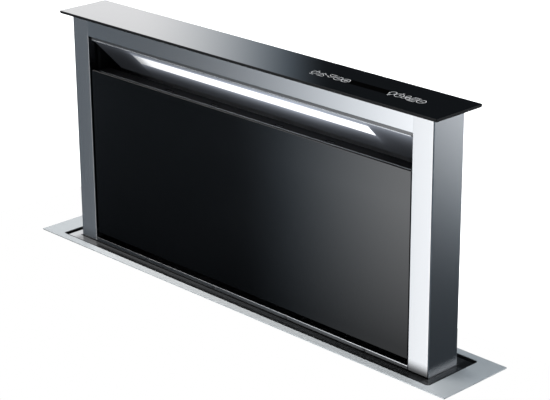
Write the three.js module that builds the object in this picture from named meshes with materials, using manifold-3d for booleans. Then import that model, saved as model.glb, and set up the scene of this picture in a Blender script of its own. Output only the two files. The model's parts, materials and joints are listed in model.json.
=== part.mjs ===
// Downdraft vent: an extractor that rises out of the worktop behind a hob.
// Millimetres, +Z up. The front (the side facing the hob) is -Y, the width runs along X.
// z = 0 is the cabinet floor under the levelling feet; the origin is the middle of the whole footprint.
import * as THREE from 'three';
import { mergeVertices } from 'three/addons/utils/BufferGeometryUtils.js';
import Module from 'manifold-3d';

const wasm = await Module();
wasm.setup();

// ---------------------------------------------------------------- driving dimensions
const FLANGE_Z = 700; // top of the worktop flange above the cabinet floor
const TRAVEL = 380.2; // how far the tower sinks, drawn here fully raised
const TOTAL_DEPTH = 316; // blower cover to the flange's back edge
const GAP = 0.3; // clearance between touching pieces
const SHEET = 1.2; // folded sheet thickness

const FLANGE = { w: 883, d: 134.5, t: 1.4, r: 1.2, y: -0.6 };
const OPENING = { w: 804, d: 109.5, r: 4.5 };
const LEDGE_DROP = 4.7; // recessed ledge below the flange's top
const TOWER = { w: 761, d: 62.5, tail: 200 }; // tail: what stays below the worktop when raised
const COLUMN_W = 37.6; // front face of each column
const LID = { w: 792.6, d: 94, y: 2, under: 376.1, glass: 3, plate: 1 };
const HEADER_UNDER = 345.5;
const PANEL = { w: 680, low: 11, high: 290, glass: 4, set_back: 2 };
const PANEL_HINGE = { y: -19.8, z: 19 };
const REFLECTOR = { half: 335.4, y0: -27.5, z0: 340, y1: 29, z1: 281.5 };
const CHEEK = 336; // inner face of the black cheeks at both ends of the intake
const LED = { length: 500, from: 13.5, to: 39.5 }; // along the reflector's slope
const CASING = { half: 406, depth: 54, floor: 40.3 };
const BELT = { y: -17, low: 80, high: 655, inner: 11.9, t: 1.8, x: 386, w: 8 };
const SHAFT_R = 5;
const BLOWER = { half: 215, front: -247.85, back: -54.3, low: 41.5, high: 419 };
const FAN = { x: -20, z: 230, r: 88, inlet: 80, y0: -186, y1: -66 };
const SCROLL = { y0: -200, y1: -57, tongue: 98, outer: 150 };
const DUCT = { y: -131.5, z: 312, r: 74.5, wall: 1.5, x0: 215.3, x1: 277 };
const FLAP = { x: 240, r: 71.5, t: 1, pin: 2 };

const F = FLANGE_Z;
const CENTRE_Y = TOTAL_DEPTH / 2 - (FLANGE.y + FLANGE.d / 2); // tower centre in the finished frame

// ---------------------------------------------------------------- solids
// A closed geometry with its shared corners merged becomes a solid that can be joined and cut.
function solid(geometry) {
  const g = geometry.clone();
  for (const key of Object.keys(g.attributes)) if (key !== 'position') g.deleteAttribute(key);
  const merged = mergeVertices(g, 1e-4);
  const p = merged.attributes.position.array;
  const index = merged.index.array;
  const tris = [];
  let volume = 0;
  for (let i = 0; i < index.length; i += 3) {
    const [a, b, c] = [index[i], index[i + 1], index[i + 2]];
    if (a === b || b === c || a === c) continue;
    tris.push(a, b, c);
    const [A, B, C] = [a, b, c].map((n) => new THREE.Vector3(p[3 * n], p[3 * n + 1], p[3 * n + 2]));
    volume += A.dot(B.cross(C));
  }
  if (volume < 0) for (let i = 0; i < tris.length; i += 3) [tris[i], tris[i + 1]] = [tris[i + 1], tris[i]];
  return new wasm.Manifold(new wasm.Mesh({
    numProp: 3, vertProperties: new Float32Array(p), triVerts: new Uint32Array(tris),
  }));
}

function geometryOf(body) {
  const mesh = body.getMesh();
  const g = new THREE.BufferGeometry();
  g.setAttribute('position', new THREE.BufferAttribute(new Float32Array(mesh.vertProperties), 3));
  g.setIndex(new THREE.BufferAttribute(new Uint32Array(mesh.triVerts), 1));
  const flat = g.toNonIndexed();
  flat.computeVertexNormals();
  return flat;
}

const join = (first, ...rest) => rest.reduce((a, b) => a.add(b), first);
const cut = (first, ...rest) => rest.reduce((a, b) => a.subtract(b), first);

function block(x0, x1, y0, y1, z0, z1) {
  const g = new THREE.BoxGeometry(Math.abs(x1 - x0), Math.abs(y1 - y0), Math.abs(z1 - z0));
  g.translate((x0 + x1) / 2, (y0 + y1) / 2, (z0 + z1) / 2);
  return solid(g);
}

// A round bar along an axis from one coordinate to another. centre holds the other two, in X, Y, Z order.
function bar(axis, centre, r, from, to, sides = 24) {
  const g = new THREE.CylinderGeometry(r, r, Math.abs(to - from), sides);
  const mid = (from + to) / 2;
  if (axis === 'x') { g.rotateZ(Math.PI / 2); g.translate(mid, centre[0], centre[1]); }
  if (axis === 'y') g.translate(centre[0], mid, centre[1]);
  if (axis === 'z') { g.rotateX(Math.PI / 2); g.translate(centre[0], centre[1], mid); }
  return solid(g);
}

// An outline swept along an axis. The outline's points are in the other two axes, in X, Y, Z order.
function prism(axis, outline, from, to, holes = []) {
  const shape = Array.isArray(outline) ? new THREE.Shape(outline.map(([a, b]) => new THREE.Vector2(a, b))) : outline;
  for (const h of holes) shape.holes.push(h);
  const g = new THREE.ExtrudeGeometry(shape, { depth: to - from, bevelEnabled: false, curveSegments: 5 });
  const v = (x, y, z) => new THREE.Vector3(x, y, z);
  const m = new THREE.Matrix4();
  if (axis === 'x') m.makeBasis(v(0, 1, 0), v(0, 0, 1), v(1, 0, 0)).setPosition(from, 0, 0);
  if (axis === 'y') m.makeBasis(v(1, 0, 0), v(0, 0, 1), v(0, -1, 0)).setPosition(0, to, 0);
  if (axis === 'z') m.makeTranslation(0, 0, from);
  g.applyMatrix4(m);
  return solid(g);
}

function roundedRect(x0, x1, y0, y1, r, kind = THREE.Shape) {
  const s = new kind();
  s.moveTo(x0 + r, y0);
  s.lineTo(x1 - r, y0);
  s.absarc(x1 - r, y0 + r, r, -Math.PI / 2, 0, false);
  s.lineTo(x1, y1 - r);
  s.absarc(x1 - r, y1 - r, r, 0, Math.PI / 2, false);
  s.lineTo(x0 + r, y1);
  s.absarc(x0 + r, y1 - r, r, Math.PI / 2, Math.PI, false);
  s.lineTo(x0, y0 + r);
  s.absarc(x0 + r, y0 + r, r, Math.PI, 1.5 * Math.PI, false);
  return s;
}

// A flat frame lying in X and Y.
function frame(hx, hy, r, ix, iy, ir, yc, z0, z1) {
  return cut(
    prism('z', roundedRect(-hx, hx, yc - hy, yc + hy, r), z0, z1),
    prism('z', roundedRect(-ix, ix, yc - iy, yc + iy, ir), z0 - 1, z1 + 1),
  );
}

// A turned part about a vertical axis: profile points are radius and height, starting and ending on the axis.
function turned(profile, x, y, sides = 24) {
  const g = new THREE.LatheGeometry(profile.map(([r, z]) => new THREE.Vector2(r, z)), sides);
  g.rotateX(Math.PI / 2);
  g.translate(x, y, 0);
  return solid(g);
}

const mirrored = (body) => body.mirror([1, 0, 0]);

// ---------------------------------------------------------------- materials
const paint = (color, roughness, metalness) => () => new THREE.MeshStandardMaterial({ color, roughness, metalness });
const stainless = paint(0xb9bfc4, 0.32, 1);
const zinc = paint(0x9aa0a3, 0.45, 0.9);
const blackPaint = paint(0x101113, 0.4, 0.2);
const blackGlass = paint(0x050506, 0.06, 0);
const blackPlastic = paint(0x17181a, 0.55, 0);
const greyPlastic = paint(0x53575b, 0.5, 0);
const rubber = paint(0x0c0c0d, 0.85, 0);
const aluminium = paint(0xc2c5c8, 0.35, 1);
const filterMesh = paint(0xa9adb0, 0.5, 0.9);
const diffuser = paint(0xf6f8ff, 0.6, 0);
const board = paint(0x1d4a33, 0.5, 0);
const castMetal = paint(0x7c8083, 0.5, 0.8);

const group = new THREE.Group();
group.name = 'downdraft_vent';
const machine = new THREE.Group(); // pieces are laid out from the tower's centre line
machine.position.set(0, CENTRE_Y, 0);
group.add(machine);

function add(parent, name, body, material) {
  const mesh = new THREE.Mesh(geometryOf(body), material());
  mesh.name = name;
  parent.add(mesh);
  return mesh;
}

// ---------------------------------------------------------------- worktop flange and its seals
const worktop = new THREE.Group();
worktop.position.set(0, FLANGE.y, F);
machine.add(worktop);

add(worktop, 'worktop_flange',
  frame(FLANGE.w / 2, FLANGE.d / 2, FLANGE.r, OPENING.w / 2, OPENING.d / 2, OPENING.r, 0, -FLANGE.t, 0), stainless);

add(worktop, 'flange_gasket', frame(438.5, 64.25, 3, 430.5, 59.4, 3, 0, -3.7, -FLANGE.t - GAP), rubber);

{ // a dished tray: lip under the flange, short wall, ledge, and a skirt that holds the wiper
  const wall = cut(
    prism('z', roundedRect(-403.2, 403.2, -55.95, 55.95, OPENING.r + SHEET), -LEDGE_DROP - SHEET, -FLANGE.t - GAP),
    prism('z', roundedRect(-402, 402, -54.75, 54.75, OPENING.r), -LEDGE_DROP, 0));
  const lip = frame(411, 58.8, 9, 402.6, 55.35, OPENING.r + 0.6, 0, -2.9, -FLANGE.t - GAP);
  const skirt = block(-386.2, 386.2, 0.6 - 36.95, 0.6 + 36.95, -14, -LEDGE_DROP - 0.6);
  const hole = block(-385, 385, 0.6 - 35.75, 0.6 + 35.75, -20, 0);
  add(worktop, 'recess_tray', cut(join(wall, lip, skirt), hole), stainless);
}

add(machine, 'wiper_seal', cut(
  block(-384.7, 384.7, -35.45, 35.45, F - 13, F - 4.4),
  block(-381, 381, -31.75, 31.75, F - 20, F),
  block(-383.2, 383.2, -33.95, 33.95, F - 20, F - 7.5)), rubber);

// ---------------------------------------------------------------- casing below the worktop
{
  const top = F - 6.2;
  const { half, depth, floor } = CASING;
  const inlet = bar('y', [FAN.x, FAN.z], FAN.inlet + 4, -70, -40, 36);
  add(machine, 'casing_front', cut(join(
    block(-half, half, -depth, -depth + SHEET, floor, top),
    block(-210, 385, -depth - 1, -depth + 0.5, 452, 464),
    block(-210, 385, -depth - 1, -depth + 0.5, 604, 616)), inlet,
  block(-209, 384, -depth + 0.1, -depth + 3, 453, 463),
  block(-209, 384, -depth + 0.1, -depth + 3, 605, 615)), zinc);
  add(machine, 'casing_back', join(
    block(-half, half, depth - SHEET, depth, floor, top),
    block(-370, 370, depth - 0.5, depth + 1.2, 144, 156),
    block(-370, 370, depth - 0.5, depth + 1.2, 334, 346),
    block(-370, 370, depth - 0.5, depth + 1.2, 524, 536)), zinc);
  const side = join(
    block(half - SHEET, half, -52.5, 52.5, floor, top),
    block(half - 13, half - 0.5, -52.5, -51.3, floor + 2, top),
    block(half - 13, half - 0.5, 51.3, 52.5, floor + 2, top));
  add(machine, 'casing_end_right', side, zinc);
  add(machine, 'casing_end_left', mirrored(side), zinc);
  add(machine, 'casing_floor', cut(
    block(-404.5, 404.5, -50.9, 50.9, floor, floor + 9),
    block(-403.3, 403.3, -49.7, 49.7, floor + SHEET, floor + 20)), zinc);

  // T-section rails the tower's carriages run on
  const rail = join(
    block(401.5, 404.5, 6, 30, 60, F - 20),
    block(395, 402, 15.5, 20.5, 60, F - 20),
    block(391, 396, 10, 26, 60, F - 20));
  add(machine, 'guide_rail_right', rail, aluminium);
  add(machine, 'guide_rail_left', mirrored(rail), aluminium);
}

// ---------------------------------------------------------------- belt lift: motor, cross shaft, pulleys, belts
{
  const { y, low, high, inner, t, x, w } = BELT;
  const floor = CASING.floor + SHEET + GAP;
  add(machine, 'lift_motor', cut(join(
    block(-45, 45, -41, 41, 50, 110),
    bar('x', [18, 82], 21, 44, 172, 28),
    bar('x', [18, 82], 8, 171, 178, 16)),
  bar('x', [y, low], SHAFT_R + GAP, -60, 60, 16)), castMetal);
  add(machine, 'lift_motor_bracket', cut(join(
    block(-52, 52, -46, 46, floor, floor + 3),
    block(46, 49, -42, -4, floor, 100),
    block(-49, -46, -42, -4, floor, 100)),
  bar('x', [y, low], 8, -60, 60, 16)), zinc);

  const block_r = cut(join(
    block(368, 380, y - 11, y + 11, floor, low + 12),
    block(364, 384, y - 20, y + 20, floor, floor + 4)),
  bar('x', [y, low], SHAFT_R + GAP, 360, 390, 16));
  add(machine, 'shaft_bearing_right', block_r, castMetal);
  add(machine, 'shaft_bearing_left', mirrored(block_r), castMetal);

  const loop = (grow) => join(
    block(x, x + w, y - inner - grow, y + inner + grow, low, high),
    bar('x', [y, low], inner + grow, x, x + w, 32),
    bar('x', [y, high], inner + grow, x, x + w, 32));
  const belt = cut(loop(t), join(
    block(x - 1, x + w + 1, y - inner, y + inner, low, high),
    bar('x', [y, low], inner, x - 1, x + w + 1, 32),
    bar('x', [y, high], inner, x - 1, x + w + 1, 32)));
  add(machine, 'drive_belt_right', belt, rubber);
  add(machine, 'drive_belt_left', mirrored(belt), rubber);

  add(machine, 'drive_shaft', bar('x', [y, low], SHAFT_R, -399, 399, 16), stainless);

  // 16 teeth at 5 mm pitch: one turn moves the belt 80 mm
  const gear = (z, bore) => {
    let g = join(
      bar('x', [y, z], 11.3, x - 1, x + w + 1, 32),
      bar('x', [y, z], 15, x - 1.5, x - 0.3, 32),
      bar('x', [y, z], 15, x + w + 0.3, x + w + 1.5, 32));
    for (let i = 0; i < 16; i += 1) {
      const a = (i / 16) * 2 * Math.PI;
      const tooth = new THREE.BoxGeometry(w + 2, 1.8, 2.4);
      tooth.translate(0, 0, 11.7);
      tooth.rotateX(a);
      tooth.translate(x + w / 2, y, z);
      g = cut(g, solid(tooth).intersect(block(x - 0.3, x + w + 0.3, y - 20, y + 20, z - 20, z + 20)));
    }
    return cut(g, bar('x', [y, z], bore, x - 5, x + w + 5, 16));
  };
  const pulley = gear(low, SHAFT_R + GAP);
  add(machine, 'drive_pulley_right', pulley, aluminium);
  add(machine, 'drive_pulley_left', mirrored(pulley), aluminium);

  const idler = cut(join(
    bar('x', [y, high], 11.5, x - 1, x + w + 1, 28),
    bar('x', [y, high], 15, x - 1.5, x - 0.3, 28),
    bar('x', [y, high], 15, x + w + 0.3, x + w + 1.5, 28)),
  bar('x', [y, high], 4.3, x - 5, x + w + 5, 16));
  add(machine, 'idler_pulley_right', idler, blackPlastic);
  add(machine, 'idler_pulley_left', mirrored(idler), blackPlastic);
  const stand = join(
    block(400.5, 404.5, y - 16, y + 16, high - 18, high + 18),
    bar('x', [y, high], 4, 383, 401, 16),
    bar('x', [y, high], 7, 396, 401, 16));
  add(machine, 'idler_bracket_right', stand, zinc);
  add(machine, 'idler_bracket_left', mirrored(stand), zinc);
}

// ---------------------------------------------------------------- blower
{
  const { half, front, back, low, high } = BLOWER;
  const axis = [FAN.x, FAN.z];
  add(machine, 'blower_box', cut(
    block(-half, half, front, back, low, high),
    block(-half + SHEET, half - SHEET, front - 10, back - SHEET, low + SHEET, high - SHEET),
    bar('y', axis, FAN.inlet + 4, back - 10, back + 10, 36),
    bar('x', [DUCT.y, DUCT.z], DUCT.r - 0.5, half - 10, half + 10, 36),
    block(-182, -168, back - 10, back + 10, 384, 398)), zinc);
  add(machine, 'blower_cover', cut(join(
    block(-half, half, front - GAP - SHEET, front - GAP, low, high),
    block(-half + 2, half - 2, front - 1, front + 8, low + 2, high - 2)),
  block(-half + 3.2, half - 3.2, front - GAP, front + 20, low + 3.2, high - 3.2)), zinc);

  const spiral = (inset, reach) => {
    const points = [];
    const steps = 32;
    for (let i = 0; i <= steps; i += 1) {
      const t = i / steps;
      const a = THREE.MathUtils.degToRad(50 - 320 * t);
      const r = SCROLL.tongue + (SCROLL.outer - SCROLL.tongue) * t - inset;
      points.push([FAN.x + r * Math.cos(a), FAN.z + r * Math.sin(a)]);
    }
    points.push([reach, FAN.z + SCROLL.outer - inset], [reach, 245 + inset]);
    return points.reverse();
  };
  add(machine, 'scroll_housing', cut(
    prism('y', spiral(0, 212), SCROLL.y0, SCROLL.y1),
    prism('y', spiral(SHEET, 230), SCROLL.y0 + SHEET, SCROLL.y1 - SHEET),
    bar('y', axis, FAN.inlet, SCROLL.y1 - 10, SCROLL.y1 + 10, 36),
    bar('y', axis, 14, SCROLL.y0 - 10, SCROLL.y0 + 10, 24)), blackPlastic);

  add(machine, 'fan_motor', cut(join(
    bar('y', axis, 62, -204.3, -200.3, 32),
    bar('y', axis, 48, -241, -204, 32),
    bar('y', axis, 12, -244, -240, 20)),
  bar('y', axis, SHAFT_R + GAP, -232, -190, 16)), castMetal);

  const ring = cut(bar('y', axis, FAN.r, FAN.y1 - 6, FAN.y1, 36), bar('y', axis, FAN.r - 15, FAN.y1 - 10, FAN.y1 + 10, 36));
  const blades = [];
  for (let i = 0; i < 24; i += 1) {
    const g = new THREE.BoxGeometry(16, FAN.y1 - FAN.y0 - 2, 1.4);
    g.translate(0, 0, 0);
    g.rotateY(0.7);
    g.translate(FAN.r - 9.5, (FAN.y0 + FAN.y1) / 2, 0);
    g.rotateY((i / 24) * 2 * Math.PI);
    g.translate(FAN.x, 0, FAN.z);
    blades.push(solid(g).intersect(bar('y', axis, FAN.r - 0.2, FAN.y0, FAN.y1, 72)));
  }
  add(machine, 'impeller', join(
    bar('y', axis, FAN.r, FAN.y0, FAN.y0 + 3, 36),
    bar('y', axis, 16, FAN.y0 - 4, FAN.y0 + 30, 24),
    bar('y', axis, SHAFT_R, -230, FAN.y0 + 1, 16), ring, ...blades), aluminium);

  // duct collar with its non-return flaps on one upright pin
  const { y, z, r, wall, x0, x1 } = DUCT;
  add(machine, 'outlet_collar', join(cut(join(
    block(x0, x0 + 1.5, y - 77, y + 77, z - 77, z + 77),
    bar('x', [y, z], r, x0, x1, 24)),
  bar('x', [y, z], r - wall, x0 - 5, x1 + 5, 24)),
  bar('z', [FLAP.x, y], FLAP.pin, z - r + 0.7, z + r - 0.7, 16)), zinc);

  const knuckle = (z0, z1, radius) => bar('z', [FLAP.x, y], radius, z0, z1, 20);
  const flap = (sign, mine, others) => {
    const disc = bar('x', [y, z], FLAP.r, FLAP.x - FLAP.t / 2, FLAP.x + FLAP.t / 2, 40)
      .intersect(sign > 0 ? block(0, 400, y + 2.7, y + 90, 0, 600) : block(0, 400, y - 90, y - 2.7, 0, 600));
    return cut(join(cut(disc, ...others.map(([a, b]) => knuckle(z + a - 0.5, z + b + 0.5, 4.2))),
      ...mine.map(([a, b]) => knuckle(z + a, z + b, 3.6))), knuckle(z - 90, z + 90, FLAP.pin + 0.35));
  };
  const outerPair = [[-60, -22], [22, 60]];
  const middle = [[-20, 20]];
  add(machine, 'damper_flap_rear', flap(1, outerPair, middle), aluminium);
  add(machine, 'damper_flap_front', flap(-1, middle, outerPair), aluminium);
}

// ---------------------------------------------------------------- control electronics
{
  const x0 = -398;
  const x1 = -238;
  const y0 = -114;
  const y1 = -54.6;
  add(machine, 'control_box', cut(
    block(x0, x1, y0, y1, 440, 600),
    block(x0 + 2, x1 - 2, y0 - 10, y1 - 2, 442, 598),
    bar('z', [-280, -85], 8.3, 430, 450, 20)), greyPlastic);
  add(machine, 'control_box_lid', join(
    block(x0, x1, y0 - 2.3, y0 - GAP, 440, 600),
    cut(block(x0 + 2.4, x1 - 2.4, y0 - 1, y0 + 6, 442.4, 597.6),
      block(x0 + 4, x1 - 4, y0 - 5, y0 + 20, 444, 596))), greyPlastic);
  const gland = (r0) => [[r0, 428], [7, 428], [8.5, 431], [11, 431], [11, 439.7], [8, 439.7], [8, 442.3], [11, 442.3], [11, 447], [r0, 447]];
  add(machine, 'mains_gland', cut(turned([[0, 428], ...gland(0).slice(1, -1), [0, 447]], -280, -85, 16),
    bar('z', [-280, -85], 4, 420, 460, 16)), blackPlastic);
}

// ---------------------------------------------------------------- levelling feet
{
  const foot = (name, x, y, top) => add(machine, name, turned(
    [[0, 0], [17, 0], [18, 1.5], [18, 5], [7, 9], [7, 11], [4, 11], [4, top - 7], [8, top - 7], [8, top], [0, top]], x, y, 20), rubberAndZinc);
  const rubberAndZinc = zinc;
  foot('foot_rear_left', -350, 28, CASING.floor - GAP);
  foot('foot_rear_right', 350, 28, CASING.floor - GAP);
  foot('foot_front_left', -180, -215, BLOWER.low - GAP);
  foot('foot_front_right', 180, -215, BLOWER.low - GAP);
}

// ---------------------------------------------------------------- rising tower
const tower = new THREE.Group();
tower.position.set(0, 0, F);
machine.add(tower);
{
  const hx = TOWER.w / 2;
  const hy = TOWER.d / 2;
  const inner = hx - COLUMN_W;
  const top = LID.under - GAP;
  const low = -TOWER.tail;
  const column = cut(
    prism('z', roundedRect(inner, hx, -hy, hy, 1.6), low, top),
    prism('z', roundedRect(inner + SHEET, hx - SHEET, -hy + SHEET, hy - SHEET, 0.5), low - 5, top + 5));
  add(tower, 'column_right', column, stainless);
  add(tower, 'column_left', mirrored(column), stainless);

  const span = inner - GAP;
  add(tower, 'header_rail', prism('x', [
    [-hy, HEADER_UNDER], [-28.4, HEADER_UNDER], [-28.4, HEADER_UNDER + SHEET], [-hy + SHEET, HEADER_UNDER + SHEET],
    [-hy + SHEET, top - SHEET], [-8, top - SHEET], [-8, top], [-hy, top]], -span, span), stainless);
  add(tower, 'back_cover', block(-span, span, hy - SHEET, hy, low, top), stainless);
  add(tower, 'bottom_rail', prism('x', [
    [-hy, -12], [-hy + SHEET, -12], [-hy + SHEET, 1.1], [-15, 1.1], [-15, 2.3], [-hy, 2.3]], -span, span), stainless);
  add(tower, 'lift_crossbar', prism('x', [
    [-12, low], [-10, low], [-10, low + 30], [10, low + 30], [10, low], [12, low], [12, low + 32], [-12, low + 32]],
  -span, span), zinc);

  // sloping light reflector with a window for the lamp
  const slope = new THREE.Vector2(REFLECTOR.y1 - REFLECTOR.y0, REFLECTOR.z1 - REFLECTOR.z0).normalize();
  const tilt = Math.atan2(slope.y, slope.x); // of the slope, in Y and Z
  const along = (s, n) => [REFLECTOR.y0 + slope.x * s - slope.y * n, REFLECTOR.z0 + slope.y * s + slope.x * n];
  const length = Math.hypot(REFLECTOR.y1 - REFLECTOR.y0, REFLECTOR.z1 - REFLECTOR.z0);
  const slab = (half, s0, s1, n0, n1) => {
    const g = new THREE.BoxGeometry(2 * half, s1 - s0, n1 - n0);
    g.rotateX(tilt);
    const [y, z] = along((s0 + s1) / 2, (n0 + n1) / 2);
    g.translate(0, y, z);
    return solid(g);
  };
  add(tower, 'light_reflector', cut(
    prism('x', [[-27.5, 340], along(length, 0), along(length, 1), [-26.5, 340.5], [-26.5, 352], [-27.5, 352]],
      -REFLECTOR.half, REFLECTOR.half),
    slab(LED.length / 2 + GAP, LED.from - GAP, LED.to + GAP, -5, 5)), stainless);
  add(tower, 'led_diffuser', slab(LED.length / 2, LED.from, LED.to, -0.4, 1.6), diffuser);
  add(tower, 'led_board', slab(LED.length / 2 - 4, LED.from + 3, LED.to - 3, 2.4, 4), board);

  // black frame behind the panel: ledge over the clean duct, cheeks beside the intake, guides for the filters
  const cheek = (s) => {
    const x0 = s > 0 ? CHEEK : -CHEEK - SHEET;
    const x1 = s > 0 ? 342.6 : -342.6;
    return join(
      block(x0, x0 + SHEET, -14, 29.7, 286.6, 343),
      block(Math.min(x1, s * CHEEK), Math.max(x1, s * CHEEK), -14, -14 + SHEET, 286.6, 343),
      block(s > 0 ? 341.4 : -342.6, s > 0 ? 342.6 : -341.4, -12, 29.7, 30, 343));
  };
  let black = join(
    block(-342.6, 342.6, -14.5, 3, 286.6, 288),
    block(-342.6, -CHEEK, -14, 29.7, 286.6, 288),
    block(CHEEK, 342.6, -14, 29.7, 286.6, 288),
    cheek(1), cheek(-1),
    block(-342.6, 342.6, 15.5, 29.7, 34, 36));
  for (const x of [-172, -69, 69, 172]) black = cut(black, block(x - 8, x + 8, -13.5, -8.5, 280, 295));
  add(tower, 'filter_frame', black, blackPaint);

  const filter = () => {
    const g = new THREE.BoxGeometry(338, 8, 245);
    const well = new THREE.BoxGeometry(318, 2.5, 225);
    const back = well.clone();
    well.translate(0, -3.25, 0);
    back.translate(0, 3.25, 0);
    const grip = new THREE.BoxGeometry(70, 3, 12);
    grip.translate(0, -2.6, 96);
    return join(cut(solid(g), solid(well), solid(back)), solid(grip));
  };
  for (const [name, s] of [['grease_filter_left', -1], ['grease_filter_right', 1]]) {
    const mesh = add(tower, name, filter(), filterMesh);
    mesh.position.set(s * 170.2, 10.2, 161);
    mesh.rotation.x = Math.atan(24 / 244);
  }

  // lid
  const z0 = LID.under;
  const touch = [95, 352, -9, 15];
  add(tower, 'lid_plate', cut(
    prism('z', roundedRect(-LID.w / 2 + 2, LID.w / 2 - 2, LID.y - LID.d / 2 + 2, LID.y + LID.d / 2 - 2, 1), z0, z0 + LID.plate),
    block(touch[0] - GAP, touch[1] + GAP, touch[2] - GAP, touch[3] + GAP, z0 - 5, z0 + 5)), blackPaint);
  add(tower, 'lid_glass',
    prism('z', roundedRect(-LID.w / 2, LID.w / 2, LID.y - LID.d / 2, LID.y + LID.d / 2, 1.5), z0 + LID.plate + GAP, z0 + LID.plate + GAP + LID.glass),
    blackGlass);
  add(tower, 'touch_board', block(touch[0], touch[1], touch[2], touch[3], z0 + 0.1, z0 + LID.plate), board);

  // carriages on the guide rails, each gripping the rear run of its belt
  const run = BELT.y + BELT.inner + BELT.t / 2;
  const carriage = cut(join(
    block(hx + GAP, 400, 5, 33, -195, -80),
    block(hx + GAP, 397, run - 5, 6, -150, -110)),
  block(390.4, 396.6, 9.4, 26.6, -200, -70),
  block(396, 405, 14.9, 21.1, -200, -70),
  block(BELT.x - GAP, 400, run - BELT.t / 2 - GAP, run + BELT.t / 2 + GAP, -160, -100));
  add(tower, 'carriage_right', carriage, blackPlastic);
  add(tower, 'carriage_left', mirrored(carriage), blackPlastic);

  // hinge pins at the panel's foot
  const pin = join(
    bar('x', [PANEL_HINGE.y, PANEL_HINGE.z], 3, 325, span, 16),
    bar('x', [PANEL_HINGE.y, PANEL_HINGE.z], 5.1, span - 2.2, span, 16));
  add(tower, 'hinge_pin_right', pin, stainless);
  add(tower, 'hinge_pin_left', mirrored(pin), stainless);
}

// ---------------------------------------------------------------- tilting front panel
{
  const front = -TOWER.d / 2 + PANEL.set_back;
  const rear = front + PANEL.glass;
  add(tower, 'panel_glass', block(-PANEL.w / 2, PANEL.w / 2, front, rear, PANEL.low, PANEL.high), blackGlass);
  const y0 = rear + GAP;
  const y1 = -15;
  add(tower, 'panel_carrier', cut(
    block(-334, 334, y0, y1, PANEL.low + 2, PANEL.high - 2),
    block(-332.8, 332.8, y0 + SHEET, y1 + 5, PANEL.low + 2 + SHEET, PANEL.high - 2 - SHEET),
    bar('x', [PANEL_HINGE.y, PANEL_HINGE.z], 3 + GAP, -340, 340, 16)), blackPaint);
}

export default group;
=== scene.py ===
import json
import math
import bmesh
import bpy
from mathutils import Matrix, Vector
from mathutils.geometry import tessellate_polygon

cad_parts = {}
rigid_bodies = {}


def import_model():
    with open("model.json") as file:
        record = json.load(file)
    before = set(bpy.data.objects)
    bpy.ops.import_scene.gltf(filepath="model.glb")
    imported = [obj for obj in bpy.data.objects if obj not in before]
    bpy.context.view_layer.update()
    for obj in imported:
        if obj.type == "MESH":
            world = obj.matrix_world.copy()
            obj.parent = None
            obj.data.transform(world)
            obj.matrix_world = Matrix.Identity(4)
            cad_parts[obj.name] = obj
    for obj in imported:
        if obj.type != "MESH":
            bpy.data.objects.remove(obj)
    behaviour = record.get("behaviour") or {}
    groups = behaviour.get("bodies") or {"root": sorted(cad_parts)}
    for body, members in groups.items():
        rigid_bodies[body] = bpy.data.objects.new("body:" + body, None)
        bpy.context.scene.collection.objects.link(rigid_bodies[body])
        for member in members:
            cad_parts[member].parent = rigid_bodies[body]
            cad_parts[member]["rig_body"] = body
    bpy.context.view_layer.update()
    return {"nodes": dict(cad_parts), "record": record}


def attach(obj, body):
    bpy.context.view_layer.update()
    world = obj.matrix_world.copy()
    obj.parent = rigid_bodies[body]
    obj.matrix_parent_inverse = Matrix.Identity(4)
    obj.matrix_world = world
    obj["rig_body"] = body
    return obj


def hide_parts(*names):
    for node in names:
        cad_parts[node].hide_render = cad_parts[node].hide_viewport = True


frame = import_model()

scene = bpy.context.scene
NODES = frame["nodes"]

# ------------------------------------------------------------------ frame of reference
# Lengths below are millimetres from the tower's centre line, with z above the worktop
# flange's top for the tower and above the cabinet floor for the housing.
CENTRE_Y = 91.35
FLANGE_Z = 700.0
MM = 0.001


def up(x, y, z):
    """A point given above the flange's top."""
    return Vector((x * MM, (y + CENTRE_Y) * MM, (z + FLANGE_Z) * MM))


def low(x, y, z):
    """A point given above the cabinet floor."""
    return Vector((x * MM, (y + CENTRE_Y) * MM, z * MM))


# ------------------------------------------------------------------ camera
def make_camera():
    data = bpy.data.cameras.new("camera")
    data.sensor_width = 36.0
    data.sensor_fit = "HORIZONTAL"
    data.lens = 118.6317
    data.shift_y = -20.0 / 550.0
    data.clip_start, data.clip_end = 0.1, 60.0
    az, el, roll = math.radians(45.73951), math.radians(20.174), math.radians(-0.38513)
    back = Vector((math.sin(az) * math.cos(el), -math.cos(az) * math.cos(el), math.sin(el)))
    place = Vector((47.7049, 0, 194.8412)) + back * 2687.242
    right = (-back).cross(Vector((0, 0, 1))).normalized()
    upward = right.cross(-back)
    r2 = right * math.cos(roll) + upward * math.sin(roll)
    u2 = upward * math.cos(roll) - right * math.sin(roll)
    cam = bpy.data.objects.new("camera", data)
    scene.collection.objects.link(cam)
    m = Matrix((r2, u2, back)).transposed().to_4x4()
    m.translation = up(*place)
    cam.matrix_world = m
    scene.camera = cam


make_camera()
scene.view_settings.view_transform = "Standard"
scene.view_settings.look = "None"
scene.view_settings.exposure = 0.0
scene.view_settings.gamma = 1.0


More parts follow.
